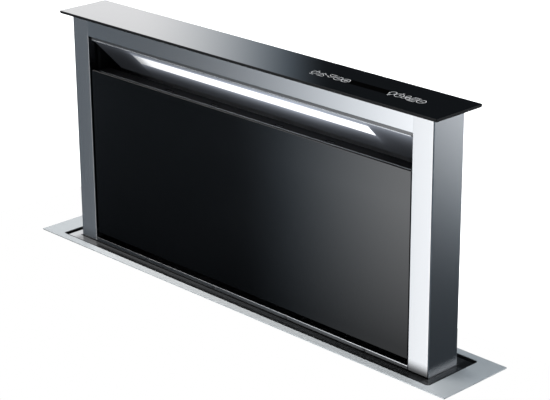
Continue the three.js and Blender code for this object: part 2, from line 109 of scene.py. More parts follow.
# ------------------------------------------------------------------ small node helpers
class Tree:
    def __init__(self, tree):
        self.tree = tree
        self.nodes = tree.nodes
        self.links = tree.links

    def put(self, socket, value):
        if isinstance(value, bpy.types.NodeSocket):
            self.links.new(value, socket)
        elif value is not None:
            socket.default_value = value

    def math(self, op, a, b=None, c=None, clamp=False):
        n = self.nodes.new("ShaderNodeMath")
        n.operation = op
        n.use_clamp = clamp
        for i, v in enumerate((a, b, c)):
            if v is not None:
                self.put(n.inputs[i], v)
        return n.outputs[0]

    def ramp(self, value, a, b, lo=0.0, hi=1.0, kind="SMOOTHSTEP"):
        n = self.nodes.new("ShaderNodeMapRange")
        n.interpolation_type = kind
        n.clamp = True
        self.put(n.inputs["Value"], value)
        n.inputs["From Min"].default_value = a
        n.inputs["From Max"].default_value = b
        n.inputs["To Min"].default_value = lo
        n.inputs["To Max"].default_value = hi
        return n.outputs["Result"]

    def coord(self, scale=(1, 1, 1), kind="Object"):
        tc = self.nodes.new("ShaderNodeTexCoord")
        mp = self.nodes.new("ShaderNodeMapping")
        mp.inputs["Scale"].default_value = scale
        self.links.new(tc.outputs[kind], mp.inputs["Vector"])
        return mp.outputs["Vector"]

    def noise(self, vector, scale, detail=3.0, rough=0.55, out="Fac"):
        n = self.nodes.new("ShaderNodeTexNoise")
        n.inputs["Scale"].default_value = scale
        n.inputs["Detail"].default_value = detail
        n.inputs["Roughness"].default_value = rough
        self.links.new(vector, n.inputs["Vector"])
        return n.outputs[out]

    def voronoi(self, vector, scale, feature="F1", out="Distance"):
        n = self.nodes.new("ShaderNodeTexVoronoi")
        n.feature = feature
        n.inputs["Scale"].default_value = scale
        self.links.new(vector, n.inputs["Vector"])
        return n.outputs[out]

    def mix(self, fac, a, b):
        n = self.nodes.new("ShaderNodeMix")
        n.data_type = "RGBA"
        self.put(n.inputs["Factor"], fac)
        self.put(n.inputs["A"], a)
        self.put(n.inputs["B"], b)
        return n.outputs["Result"]

    def bump(self, height, strength, distance, normal=None):
        n = self.nodes.new("ShaderNodeBump")
        n.inputs["Strength"].default_value = strength
        n.inputs["Distance"].default_value = distance
        self.put(n.inputs["Height"], height)
        if normal is not None:
            self.links.new(normal, n.inputs["Normal"])
        return n.outputs["Normal"]


def surface(name, metallic=0.0, ior=1.5, specular=0.5, anisotropic=0.0, coat=0.0, coat_rough=0.05):
    m = bpy.data.materials.new(name)
    m.use_nodes = True
    t = Tree(m.node_tree)
    p = m.node_tree.nodes["Principled BSDF"]
    p.inputs["Metallic"].default_value = metallic
    p.inputs["IOR"].default_value = ior
    p.inputs["Specular IOR Level"].default_value = specular
    p.inputs["Anisotropic"].default_value = anisotropic
    p.inputs["Coat Weight"].default_value = coat
    p.inputs["Coat Roughness"].default_value = coat_rough
    return m, t, p


def grey(v, tint=(1, 1, 1)):
    return (v * tint[0], v * tint[1], v * tint[2], 1.0)


# ------------------------------------------------------------------ materials
def brushed(name, grain, base=0.5, rough=0.17, tint=(0.99, 1.0, 1.015), spread=0.02, aniso=0.44, relief=0.02):
    """Stainless steel with a fine linear grain; grain is the axis the polish lines follow."""
    m, t, p = surface(name, metallic=1.0, anisotropic=aniso)
    if grain == "x":  # the highlight spreads across the lines, which here run along X
        tangent = t.nodes.new("ShaderNodeTangent")
        tangent.direction_type = "RADIAL"
        tangent.axis = "X"
        t.links.new(tangent.outputs[0], p.inputs["Tangent"])
    across = 1400.0
    along = 9.0
    scale = {"x": (along, across, across), "y": (across, along, across), "z": (across, across, along)}[grain]
    lines = t.noise(t.coord(scale), 1.0, 4.0, 0.6)
    fine = t.noise(t.coord(tuple(2.6 * s for s in scale)), 1.0, 2.0, 0.5)
    cloud = t.noise(t.coord(), 6.0, 3.0, 0.5)
    both = t.math("ADD", t.math("MULTIPLY", lines, 0.65), t.math("MULTIPLY", fine, 0.35))
    tone = t.math("ADD", t.math("MULTIPLY", both, 0.8), t.math("MULTIPLY", cloud, 0.2))
    t.put(p.inputs["Base Color"], t.mix(tone, grey(base * (1 - spread), tint), grey(base * (1 + spread), tint)))
    t.put(p.inputs["Roughness"], t.ramp(tone, 0.2, 0.8, rough - 0.012, rough + 0.012, "LINEAR"))
    t.put(p.inputs["Normal"], t.bump(both, relief, 0.00006))
    return m, t, p


def painted_lamp_glow(t, p):
    """Painted glow: emission on the reflector sheet stands in for the lamp's light on it, strongest beside the lamp and
    fading with the distance from it.
    """
    tc = t.nodes.new("ShaderNodeTexCoord")
    sep = t.nodes.new("ShaderNodeSeparateXYZ")
    t.links.new(tc.outputs["Object"], sep.inputs[0])
    x = t.math("MULTIPLY", sep.outputs["X"], 1000.0)
    y = t.math("MULTIPLY_ADD", sep.outputs["Y"], 1000.0, -CENTRE_Y + 27.5)
    z = t.math("MULTIPLY_ADD", sep.outputs["Z"], 1000.0, -FLANGE_Z - 340.0)
    run = math.hypot(56.5, 58.5)
    s = t.math("ADD", t.math("MULTIPLY", y, 56.5 / run), t.math("MULTIPLY", z, -58.5 / run))
    aside = t.math("MAXIMUM", t.math("SUBTRACT", t.math("ABSOLUTE", x), 250.0), 0.0)
    below = t.math("SUBTRACT", t.math("ABSOLUTE", t.math("SUBTRACT", s, 26.5)), 13.0)
    below = t.math("MAXIMUM", below, 0.0)
    away = t.math("SQRT", t.math("ADD", t.math("MULTIPLY", aside, aside), t.math("MULTIPLY", below, below)))
    near = t.math("EXPONENT", t.math("MULTIPLY", away, -1.0 / 10.5))
    near = t.math("MULTIPLY", near, t.ramp(x, -250.0, 120.0, 0.17, 0.38, "LINEAR"))
    near = t.math("MULTIPLY", near, t.ramp(aside, 0.0, 5.0, 1.0, 0.5))
    near = t.math("MULTIPLY", near, t.ramp(x, 90.0, 250.0, 1.0, 0.45))
    near = t.math("MULTIPLY", near, t.ramp(s, 13.0, 14.0, 1.9, 1.0, "LINEAR"))
    far = t.math("EXPONENT", t.math("MULTIPLY", s, -1.0 / 17.0))
    far = t.math("MULTIPLY", far, t.ramp(x, -120.0, 300.0, 0.04, 0.30, "LINEAR"))
    glow = t.math("ADD", t.math("ADD", near, far), 0.014)
    e = t.nodes.new("ShaderNodeCombineColor")
    for i, k in enumerate((0.86, 0.94, 1.10)):
        t.links.new(t.math("MULTIPLY", glow, k), e.inputs[i])
    t.links.new(e.outputs[0], p.inputs["Emission Color"])
    p.inputs["Emission Strength"].default_value = 1.0


def make_galvanised():
    m, t, p = surface("zinc_coated_sheet", metallic=0.9)
    v = t.coord()
    cells = t.voronoi(v, 150.0, out="Color")
    sep = t.nodes.new("ShaderNodeSeparateColor")
    t.links.new(cells, sep.inputs["Color"])
    spangle = sep.outputs["Red"]
    cloud = t.noise(v, 9.0, 4.0, 0.6)
    tone = t.math("ADD", t.math("MULTIPLY", spangle, 0.72), t.math("MULTIPLY", cloud, 0.28))
    t.put(p.inputs["Base Color"], t.mix(tone, grey(0.50, (0.98, 1, 1.02)), grey(0.62, (0.98, 1, 1.03))))
    t.put(p.inputs["Roughness"], t.ramp(tone, 0.1, 0.9, 0.36, 0.46, "LINEAR"))
    t.put(p.inputs["Normal"], t.bump(t.noise(v, 160.0, 3.0), 0.10, 0.0001))
    return m


def make_glass(name, painted_reflection_fade=False):
    m, t, p = surface(name, ior=1.66)
    v = t.coord()
    if painted_reflection_fade:  # painted shade: the front pane's reflection is tinted darker towards its foot
        sep = t.nodes.new("ShaderNodeSeparateXYZ")
        t.links.new(v, sep.inputs[0])
        fade = t.ramp(sep.outputs["Z"], (FLANGE_Z + 25) * MM, (FLANGE_Z + 242) * MM, 0.0, 1.0, "LINEAR")
        t.put(p.inputs["Specular Tint"], t.mix(fade, grey(0.05), grey(1.0)))
    film = t.noise(v, 3.5, 4.0, 0.6)
    dust = t.noise(v, 900.0, 2.0, 0.5)
    t.put(p.inputs["Base Color"], t.mix(film, grey(0.0015, (0.9, 1, 1.15)), grey(0.0032, (0.9, 1, 1.15))))
    rough = t.math("ADD", t.ramp(film, 0.3, 0.7, 0.045, 0.075, "LINEAR"), t.ramp(dust, 0.62, 0.8, 0.0, 0.05, "LINEAR"))
    t.put(p.inputs["Roughness"], rough)
    t.put(p.inputs["Normal"], t.bump(t.noise(v, 14.0, 2.0), 0.015, 0.0004))
    return m


def make_enamel(name, base, r0, r1, peel=0.12, specular=0.5):
    m, t, p = surface(name, specular=specular)
    v = t.coord()
    cloud = t.noise(v, 18.0, 4.0, 0.6)
    t.put(p.inputs["Base Color"], t.mix(cloud, grey(base * 0.8, (0.94, 1, 1.08)), grey(base * 1.2, (0.94, 1, 1.08))))
    t.put(p.inputs["Roughness"], t.ramp(cloud, 0.3, 0.7, r0, r1, "LINEAR"))
    t.put(p.inputs["Normal"], t.bump(t.noise(v, 420.0, 3.0), peel, 0.00008))
    return m


def make_moulded(name, base, r0, r1, grain=1500.0, tint=(1, 1, 1)):
    m, t, p = surface(name)
    v = t.coord()
    pits = t.voronoi(v, grain)
    cloud = t.noise(v, 30.0, 4.0, 0.6)
    t.put(p.inputs["Base Color"], t.mix(cloud, grey(base * 0.85, tint), grey(base * 1.15, tint)))
    t.put(p.inputs["Roughness"], t.ramp(cloud, 0.3, 0.7, r0, r1, "LINEAR"))
    t.put(p.inputs["Normal"], t.bump(pits, 0.25, 0.00012))
    return m


def make_metal(name, base, r0, r1, grain, strength, tint=(1, 1, 1), aniso=0.0):
    m, t, p = surface(name, metallic=1.0, anisotropic=aniso)
    v = t.coord()
    cloud = t.noise(v, 40.0, 4.0, 0.6)
    t.put(p.inputs["Base Color"], t.mix(cloud, grey(base * 0.88, tint), grey(base * 1.1, tint)))
    t.put(p.inputs["Roughness"], t.ramp(cloud, 0.3, 0.7, r0, r1, "LINEAR"))
    t.put(p.inputs["Normal"], t.bump(t.noise(v, grain, 3.0), strength, 0.00015))
    return m


def make_lamp():
    m, t, p = surface("opal_lamp", specular=0.4)
    v = t.coord()
    ripple = t.noise(v, 700.0, 2.0)
    t.put(p.inputs["Base Color"], t.mix(ripple, grey(0.34), grey(0.38)))
    p.inputs["Roughness"].default_value = 0.45
    t.put(p.inputs["Emission Color"], t.mix(ripple, (0.93, 0.95, 1.0, 1), (0.97, 0.98, 1.0, 1)))
    sep = t.nodes.new("ShaderNodeSeparateXYZ")
    t.links.new(v, sep.inputs[0])
    t.put(p.inputs["Emission Strength"], t.math("MULTIPLY", t.ramp(sep.outputs["X"], -0.2505, -0.212, 0.26, 1.05), t.ramp(sep.outputs["X"], -0.24, -0.06, 0.78, 1.3)))
    t.put(p.inputs["Normal"], t.bump(ripple, 0.1, 0.0001))
    return m


def make_board():
    m, t, p = surface("solder_mask_green", specular=0.5)
    v = t.coord()
    tracks = t.voronoi(v, 420.0, "DISTANCE_TO_EDGE")
    line = t.ramp(tracks, 0.03, 0.09, 0.0, 1.0)
    t.put(p.inputs["Base Color"], t.mix(line, (0.05, 0.24, 0.11, 1), (0.012, 0.09, 0.04, 1)))
    p.inputs["Roughness"].default_value = 0.35
    t.put(p.inputs["Normal"], t.bump(line, 0.2, 0.0001))
    return m


def make_print(name, value, glow=0.0, specular=0.5):
    m, t, p = surface(name, specular=specular)
    v = t.coord()
    n = t.noise(v, 2500.0, 2.0)
    t.put(p.inputs["Base Color"], t.mix(n, grey(value * 0.9), grey(value * 1.05)))
    p.inputs["Roughness"].default_value = 0.45
    if glow:
        t.put(p.inputs["Emission Color"], t.mix(n, grey(0.9), grey(1.0)))
        p.inputs["Emission Strength"].default_value = glow
    return m


# Painted shade: scales the base colour along X, from lo at a to hi at b.
def painted_shade_along_x(t, p, a, b, lo, hi):
    tc = t.nodes.new("ShaderNodeTexCoord")
    sep = t.nodes.new("ShaderNodeSeparateXYZ")
    t.links.new(tc.outputs["Object"], sep.inputs[0])
    keep = t.ramp(t.math("MULTIPLY", sep.outputs["X"], 1000.0), a, b, lo, hi, "LINEAR")
    was = p.inputs["Base Color"].links[0].from_socket
    dark = t.nodes.new("ShaderNodeVectorMath")
    dark.operation = "SCALE"
    t.links.new(was, dark.inputs[0])
    t.links.new(keep, dark.inputs["Scale"])
    t.links.new(dark.outputs[0], p.inputs["Base Color"])


def painted_light_beside_foot(t, p):
    """Painted light and shade: the ledge's colour is brightened beside the end of the tower and darkened behind it."""
    tc = t.nodes.new("ShaderNodeTexCoord")
    sep = t.nodes.new("ShaderNodeSeparateXYZ")
    t.links.new(tc.outputs["Object"], sep.inputs[0])
    x = t.math("MULTIPLY", sep.outputs["X"], 1000.0)
    y = t.math("MULTIPLY_ADD", sep.outputs["Y"], 1000.0, -CENTRE_Y)
    beside = t.math("MULTIPLY", t.ramp(x, 378.0, 384.0), t.ramp(y, 30.0, 20.0, -0.6, 1.7))
    was = p.inputs["Base Color"].links[0].from_socket
    lit = t.nodes.new("ShaderNodeVectorMath")
    lit.operation = "SCALE"
    t.links.new(was, lit.inputs[0])
    t.links.new(t.math("ADD", beside, 1.0), lit.inputs["Scale"])
    t.links.new(lit.outputs[0], p.inputs["Base Color"])


def painted_foot_shade(t, p, side):
    """Painted reflection of the sunk ledge at the foot of a column: the front's colour is darkened near the foot as a
    soft dark hem, and the end's roughness rises there so the ledge's light reflection on it blurs.
    """
    tc = t.nodes.new("ShaderNodeTexCoord")
    sep = t.nodes.new("ShaderNodeSeparateXYZ")
    t.links.new(tc.outputs["Object"], sep.inputs[0])
    z = t.math("MULTIPLY_ADD", sep.outputs["Z"], 1000.0, -FLANGE_Z)
    y = t.math("MULTIPLY_ADD", sep.outputs["Y"], 1000.0, -CENTRE_Y)
    front = t.ramp(y, -31.0, -29.4, 1.0, 0.0)
    low = t.ramp(z, 16.5, -2.5, 0.0, 0.91 if side > 0 else 0.34)
    keep = t.math("SUBTRACT", 1.0, t.math("MULTIPLY", low, front))
    if side < 0:  # painted shade: the bend beside the pane is darkened in colour, dimming its highlight
        x = t.math("MULTIPLY", sep.outputs["X"], 1000.0)
        keep = t.math("MULTIPLY", keep, t.ramp(x, -344.3, -343.3, 1.0, 0.3))
    was = p.inputs["Base Color"].links[0].from_socket
    dark = t.nodes.new("ShaderNodeVectorMath")
    dark.operation = "SCALE"
    t.links.new(was, dark.inputs[0])
    t.links.new(keep, dark.inputs["Scale"])
    t.links.new(dark.outputs[0], p.inputs["Base Color"])
    rough = p.inputs["Roughness"].links[0].from_socket
    soft = t.math("MULTIPLY", t.ramp(z, 12.0, -3.0, 0.0, 0.34, "LINEAR"), t.math("SUBTRACT", 1.0, front))
    t.put(p.inputs["Roughness"], t.math("ADD", rough, soft))


# both columns' fronts are darkened near the foot as a painted reflection of the ledge
STEEL_Z, _tree, _shader = brushed("brushed_steel_upright", "z")
painted_foot_shade(_tree, _shader, 1)
STEEL_ZL, _tree, _shader = brushed("brushed_steel_upright_left", "z")
painted_foot_shade(_tree, _shader, -1)
STEEL_X = brushed("brushed_steel_level", "x")[0]
STEEL_FLANGE, _tree, _shader = brushed("brushed_steel_flange", "x", base=0.52, rough=0.40, aniso=1.0, tint=(0.94, 1.0, 1.03), spread=0.035, relief=0.04)
# painted shade: the flange's colour is darker towards its left end
painted_shade_along_x(_tree, _shader, -350.0, -270.0, 0.64, 1.0)
STEEL_BACK = brushed("brushed_steel_back", "x", base=0.55, rough=0.3, spread=0.04, relief=0.04)[0]
STEEL_TRAY, _tree, _shader = brushed("polished_steel_tray", "x", base=0.41, rough=0.21, aniso=0.9, spread=0.006, relief=0.0)
# painted shade: the tray's colour is darkened right of x = -374 mm, and less so at its left end
painted_shade_along_x(_tree, _shader, -388.0, -374.0, 0.58, 0.19)
# painted light beside the tower's right end and painted shade behind it
painted_light_beside_foot(_tree, _shader)
STEEL_HEADER = brushed("brushed_steel_header", "x", base=0.555, rough=0.185, aniso=0.28)[0]
STEEL_LIP, _tree, _shader = brushed("brushed_steel_lip", "x", base=0.5, rough=0.185, aniso=0.28)
# painted shade: the lip's colour is darker towards the left
painted_shade_along_x(_tree, _shader, -300.0, 120.0, 0.3, 1.0)
STEEL_SILL, _tree, _shader = brushed("polished_steel_sill", "x", base=0.17, spread=0.008, relief=0.0)
# painted shade: the sill's colour is darker towards the right
painted_shade_along_x(_tree, _shader, -100.0, 330.0, 1.0, 0.2)
# painted shade: steel darkened to stand for the shade in the slot under the header
STEEL_SHADED_STRIP = brushed("steel_strip_painted_shade", "x", base=0.13, rough=0.26, aniso=0.2)[0]
STEEL_TRIM, _tree, _shader = brushed("brushed_steel_trim", "x", base=0.30, rough=0.2, tint=(0.93, 1.0, 1.08))
# painted shade: the trim's colour is darker towards the left
painted_shade_along_x(_tree, _shader, -300.0, 100.0, 0.45, 1.0)
STEEL_REFLECTOR, _tree, _shader = brushed("brushed_steel_reflector", "x", base=0.42, rough=0.3, aniso=0.0)
# painted glow of the lamp's light on the reflector sheet
painted_lamp_glow(_tree, _shader)
ZINC = make_galvanised()
GLASS = make_glass("black_glass_polished")
# the front pane's reflection is tinted darker towards its foot as painted shade
PANEL_GLASS = make_glass("black_glass_panel", True)
GROUND_EDGE = make_enamel("black_glass_ground_edge", 0.004, 0.30, 0.38, 0.05, 0.115)
MATT_BLACK = make_enamel("black_matt_edging", 0.005, 0.5, 0.6, 0.0, 0.08)
TRIM_BLACK = make_enamel("black_gloss_trim", 0.008, 0.14, 0.2, 0.05)
SATIN_BLACK = make_enamel("black_enamel_satin", 0.011, 0.30, 0.42)
INNER_BLACK = make_enamel("black_enamel_inner", 0.003, 0.36, 0.48, 0.1, 0.08)
BLACK_PLASTIC = make_moulded("black_moulding", 0.02, 0.45, 0.6)
GREY_PLASTIC = make_moulded("grey_moulding", 0.17, 0.42, 0.55, tint=(0.96, 1, 1.04))
RUBBER = make_moulded("rubber_black", 0.012, 0.6, 0.8, 2200.0)
ALUMINIUM = make_metal("satin_aluminium", 0.72, 0.28, 0.4, 300.0, 0.08)
MESH_METAL = make_metal("expanded_aluminium", 0.6, 0.3, 0.45, 200.0, 0.1)
CAST = make_metal("die_cast_metal", 0.36, 0.45, 0.6, 500.0, 0.3)
SCREW = make_metal("plated_screw", 0.6, 0.25, 0.35, 500.0, 0.05)
LAMP = make_lamp()
BOARD = make_board()
PRINT = make_print("printed_symbols", 0.6, 0.08)
DISPLAY = make_print("display_window", 0.001, specular=0.0)

BY_SLOT = {
    "stainless": STEEL_X, "zinc_sheet": ZINC, "black_enamel": SATIN_BLACK, "black_glass": GLASS,
    "black_plastic": BLACK_PLASTIC, "grey_plastic": GREY_PLASTIC, "rubber": RUBBER, "aluminium": ALUMINIUM,
    "filter_mesh": MESH_METAL, "lamp_diffuser": LAMP, "circuit_board": BOARD, "motor_casting": CAST,
}
SLOT_OF = {s["node"]: s["material_slot"] for s in frame["record"]["subparts"]}
BODY_OF = {n: o["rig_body"] for n, o in NODES.items()}


# ------------------------------------------------------------------ mesh helpers
def finish_mesh(name, bm, material, body, replaces=(), smooth=35.0, bevel=0.0, segments=2):
    bmesh.ops.remove_doubles(bm, verts=bm.verts, dist=1e-7)
    bmesh.ops.recalc_face_normals(bm, faces=bm.faces)
    limit = math.radians(smooth)
    for f in bm.faces:
        f.smooth = True
    for e in bm.edges:
        e.smooth = not (len(e.link_faces) == 2 and e.calc_face_angle(0.0) > limit)
    data = bpy.data.meshes.new(name)
    bm.to_mesh(data)
    bm.free()
    data.materials.append(material)
    o = bpy.data.objects.new(name, data)
    scene.collection.objects.link(o)
    if bevel:
        add_bevel(o, bevel, segments)
    flat = o.modifiers.new("flat_faces", "WEIGHTED_NORMAL")
    flat.mode = "FACE_AREA"
    flat.weight = 100
    flat.keep_sharp = True
    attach(o, body)
    if replaces:
        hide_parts(*replaces)
    return o


def add_bevel(o, width, segments=2, angle=30.0):
    b = o.modifiers.new("edges", "BEVEL")
    b.width = width * MM
    b.segments = segments
    b.limit_method = "ANGLE"
    b.angle_limit = math.radians(angle)
    b.harden_normals = True
    b.use_clamp_overlap = True
    return b


def loop_faces(bm, loops, closed=True, cap=False):
    """Joins rings of equal count with quads. closed joins the last ring to the first."""
    rings = [[bm.verts.new(p) for p in ring] for ring in loops]
    n = len(rings[0])
    pairs = list(zip(rings, rings[1:])) + ([(rings[-1], rings[0])] if closed else [])
    for a, b in pairs:
        for i in range(n):
            j = (i + 1) % n
            bm.faces.new((a[i], a[j], b[j], b[i]))
    if cap:
        bm.faces.new(rings[0][::-1])
        bm.faces.new(rings[-1])
    return rings


def rounded(hx, hy, r, steps=7, cx=0.0, cy=0.0):
    """A rectangle with rounded corners; r is one radius or a pair for the -x and the +x side."""
    pts = []
    radii = r if isinstance(r, tuple) else (r, r)
    for sx, sy, a0 in ((1, -1, -90), (1, 1, 0), (-1, 1, 90), (-1, -1, 180)):
        r = radii[0] if sx < 0 else radii[1]
        for i in range(steps + 1):
            a = math.radians(a0 + 90.0 * i / steps)
            pts.append((cx + sx * (hx - r) + r * math.cos(a), cy + sy * (hy - r) + r * math.sin(a)))
    return pts


def frame_of(name, profile, place, material, body, replaces=(), cy=0.0, steps=8, smooth=35.0):
    """A ring swept round a rectangle: profile is a closed list of (half x, half y, corner radius, z)."""
    bm = bmesh.new()
    loops = [[place(x, y, z) for x, y in rounded(hx, hy, r, steps, 0.0, cy)] for hx, hy, r, z in profile]
    loop_faces(bm, loops, closed=True)
    return finish_mesh(name, bm, material, body, replaces, smooth)


def extrude(bm, axis, outline, a, b, place, holes=()):
    """A closed solid from an outline in the other two axes, in X, Y, Z order, with optional holes."""
    def at(u, v, w):
        return {"x": (w, u, v), "y": (u, w, v), "z": (u, v, w)}[axis]
    polys = [list(outline)] + [list(h) for h in holes]
    flat = [p for poly in polys for p in poly]
    front = [bm.verts.new(place(*at(u, v, a))) for u, v in flat]
    back = [bm.verts.new(place(*at(u, v, b))) for u, v in flat]
    start = 0
    for poly in polys:
        n = len(poly)
        for i in range(n):
            j = (i + 1) % n
            bm.faces.new((front[start + i], front[start + j], back[start + j], back[start + i]))
        start += n
    if holes:
        tris = tessellate_polygon([[Vector((u, v, 0)) for u, v in poly] for poly in polys])
        for t in tris:
            if len(set(t)) == 3:
                bm.faces.new([front[i] for i in t])
                bm.faces.new([back[i] for i in t])
    else:
        bm.faces.new(front)
        bm.faces.new(back)


def circle(cx, cy, r, n=32, start=0.0):
    return [(cx + r * math.cos(start + 2 * math.pi * i / n), cy + r * math.sin(start + 2 * math.pi * i / n)) for i in range(n)]


def rect(x0, x1, y0, y1):
    return [(x0, y0), (x1, y0), (x1, y1), (x0, y1)]


def block(bm, x0, x1, y0, y1, z0, z1, place):
    extrude(bm, "z", rect(x0, x1, y0, y1), z0, z1, place)


def turned(bm, axis, centre, profile, place, sides=40):
    """A lathe solid. profile is radius and position along the axis; a radius of 0 closes an end."""
    def at(u, v, w):
        return {"x": (w, u, v), "y": (u, w, v), "z": (u, v, w)}[axis]
    rings = []
    for r, w in profile:
        if r <= 1e-6:
            rings.append([bm.verts.new(place(*at(centre[0], centre[1], w)))])
        else:
            rings.append([bm.verts.new(place(*at(u, v, w))) for u, v in circle(centre[0], centre[1], r, sides)])
    closed = rings[0] if len(rings[0]) > 1 and len(rings[-1]) > 1 else None
    pairs = list(zip(rings, rings[1:])) + ([(rings[-1], rings[0])] if closed else [])
    for a, b in pairs:
        for i in range(sides):
            j = (i + 1) % sides
            if len(a) == 1 and len(b) == 1:
                continue
            if len(a) == 1:
                bm.faces.new((a[0], b[j], b[i]))
            elif len(b) == 1:
                bm.faces.new((a[i], a[j], b[0]))
            else:
                bm.faces.new((a[i], a[j], b[j], b[i]))


def hexagon(cx, cy, across, turn=0.0):
    return circle(cx, cy, across / math.sqrt(3), 6, turn)


def screws(name, spots, material, body, place, r=3.4, h=1.5, flush=False):
    """Pan or countersunk heads with a cross recess. spots: (x, y, z, outward axis such as '-y')."""
    bm = bmesh.new()
    for x, y, z, out in spots:
        sign = -1.0 if out[0] == "-" else 1.0
        axis = out[1]
        centre = {"x": (y, z), "y": (x, z), "z": (x, y)}[axis]
        base = {"x": x, "y": y, "z": z}[axis]
        if flush:
            prof = [(0, -0.6), (r * 0.55, -0.6), (r, -0.02), (r, 0.06), (r * 0.93, 0.10), (r * 0.36, 0.10), (r * 0.30, -0.25), (0, -0.30)]
        else:
            prof = [(0, -0.3), (r * 0.6, -0.3), (r, -0.05), (r, h * 0.35), (r * 0.92, h * 0.7), (r * 0.72, h * 0.93), (r * 0.42, h), (r * 0.34, h * 0.5), (0, h * 0.42)]
        n = 24
        rings = []
        for rr, w in prof:
            pos = base + sign * w
            pts = []
            count = 1 if rr == 0 else n
            for i in range(count):
                a = 2 * math.pi * i / n
                k = rr
                if rr and rr <= r * 0.45:  # the recess is a cross
                    k = rr * (1.0 + 0.32 * math.cos(4 * a))
                u, v = centre[0] + k * math.cos(a), centre[1] + k * math.sin(a)
                pts.append(bm.verts.new(place(*{"x": (pos, u, v), "y": (u, pos, v), "z": (u, v, pos)}[axis])))
            rings.append(pts)
        for a_, b_ in zip(rings, rings[1:]):
            for i in range(n):
                j = (i + 1) % n
                if len(a_) == 1:
                    bm.faces.new((a_[0], b_[j], b_[i]))
                elif len(b_) == 1:
                    bm.faces.new((a_[i], a_[j], b_[0]))
                else:
                    bm.faces.new((a_[i], a_[j], b_[j], b_[i]))
    return finish_mesh(name, bm, material, body, smooth=40.0)


def sweep(bm, points, r, place, sides=10):
    """A round rod through points, with flat ends."""
    pts = [place(*p) for p in points]
    rings = []
    for i, p in enumerate(pts):
        d = (pts[min(i + 1, len(pts) - 1)] - pts[max(i - 1, 0)]).normalized()
        side = d.cross(Vector((0, 0, 1)) if abs(d.z) < 0.9 else Vector((1, 0, 0))).normalized()
        upw = side.cross(d)
        rings.append([bm.verts.new(p + (side * math.cos(a) + upw * math.sin(a)) * r * MM)
                      for a in (2 * math.pi * k / sides for k in range(sides))])
    for a, b in zip(rings, rings[1:]):
        for i in range(sides):
            j = (i + 1) % sides
            bm.faces.new((a[i], a[j], b[j], b[i]))
    bm.faces.new(rings[0][::-1])
    bm.faces.new(rings[-1])


# ------------------------------------------------------------------ every CAD node first gets its finish
BEVELS = {
    "lift_crossbar": 0.4, "carriage_left": 0.8, "carriage_right": 0.8, "panel_carrier": 0.35,
    "filter_frame": 0.25, "casing_front": 0.35, "casing_back": 0.35, "casing_end_left": 0.35, "casing_end_right": 0.35,
    "casing_floor": 0.35, "blower_box": 0.35, "blower_cover": 0.4, "control_box": 1.0, "control_box_lid": 0.8,
    "guide_rail_left": 0.4, "guide_rail_right": 0.4, "lift_motor": 1.0, "lift_motor_bracket": 0.4,
    "shaft_bearing_left": 0.6, "shaft_bearing_right": 0.6, "fan_motor": 1.0, "scroll_housing": 0.4,
    "idler_bracket_left": 0.4, "idler_bracket_right": 0.4, "led_board": 0.2, "touch_board": 0.1,
    "damper_flap_front": 0.2, "damper_flap_rear": 0.2, "hinge_pin_left": 0.3, "hinge_pin_right": 0.3,
}
for node_name, node in NODES.items():
    node.data.materials.clear()
    inner = node_name in ("filter_frame", "panel_carrier", "lid_plate")
    node.data.materials.append(INNER_BLACK if inner else BY_SLOT[SLOT_OF[node_name]])
    if node_name.startswith("casing_"):
        node.visible_glossy = False
    if node_name in BEVELS:
        add_bevel(node, BEVELS[node_name], 2, 32.0)

# ------------------------------------------------------------------ worktop flange, tray and seals
FY = -0.6
frame_of("flange_plate", [
    (441.5, 67.25, 1.2, -1.4), (441.5, 67.25, 1.2, -0.35), (441.35, 67.1, 1.1, -0.1), (441.1, 66.85, 0.9, 0.0),
    (401.7, 54.45, 5.0, 0.0), (401.35, 54.1, 4.7, -0.12), (401.2, 53.95, 4.5, -0.45), (401.2, 53.95, 4.5, -1.4)],
    up, STEEL_FLANGE, "housing", ("worktop_flange",), FY).visible_glossy = False
frame_of("flange_seal", [
    (438.5, 64.25, 3.0, -3.7), (438.5, 64.25, 3.0, -1.7), (430.5, 59.4, 3.0, -1.7), (430.5, 59.4, 3.0, -3.7)],
    up, RUBBER, "housing", ("flange_gasket",), FY).visible_glossy = False
frame_of("sunk_tray", [
    (411, 58.8, 9, -2.9), (411, 58.8, 9, -1.75), (402.35, 55.1, 4.85, -1.72), (402.05, 54.8, 4.55, -2.1),
    (402.0, 54.75, 4.5, -4.2), (401.7, 54.45, 4.2, -4.85), (400.9, 53.65, 3.5, -5.1),
    (385.6, 36.95, 1.2, -5.1), (385.15, 36.5, 0.8, -5.3), (385.0, 36.35, 0.6, -5.6), (385.0, 36.35, 0.6, -14.0),
    (386.2, 37.55, 1.2, -14.0), (386.2, 37.55, 1.2, -5.9), (402.0, 54.75, 5.0, -5.9), (403.2, 55.95, 5.7, -5.2), (403.2, 55.95, 5.7, -2.9)],
    up, TRIM_BLACK, "housing", ("recess_tray",), FY, 10).visible_glossy = False
frame_of("opening_edging", [
    (401.1, 53.85, 4.4, -5.0), (401.1, 53.85, 4.4, -0.7), (400.8, 53.55, 4.2, -0.4), (399.2, 51.95, 2.0, -0.4),
    (398.9, 51.65, 1.8, -0.7), (398.9, 51.65, 1.8, -5.0)],
    up, MATT_BLACK, "housing", (), FY, 8).visible_glossy = False
frame_of("tray_ledge", [
    (398.6, 51.35, 1.6, -5.05), (398.6, 51.35, 1.6, -4.6), (398.4, 51.15, 1.4, -4.4),
    (382.5, 33.2, 0.8, -4.4), (382.2, 32.9, 0.6, -4.6), (382.2, 32.9, 0.6, -5.05)],
    up, STEEL_TRAY, "housing", (), FY, 6).visible_glossy = False
frame_of("tower_wiper", [
    (384.7, 35.45, 1.5, -13.0), (384.7, 35.45, 1.5, -5.9), (384.2, 34.95, 1.2, -5.4), (383.0, 33.8, 1.0, -5.2),
    (381.4, 32.15, 0.8, -5.4), (381.0, 31.75, 0.6, -6.0), (381.0, 31.75, 0.6, -7.3), (383.2, 33.95, 0.8, -7.5), (383.2, 33.95, 0.8, -13.0)],
    up, RUBBER, "housing", ("wiper_seal",), 0.0)


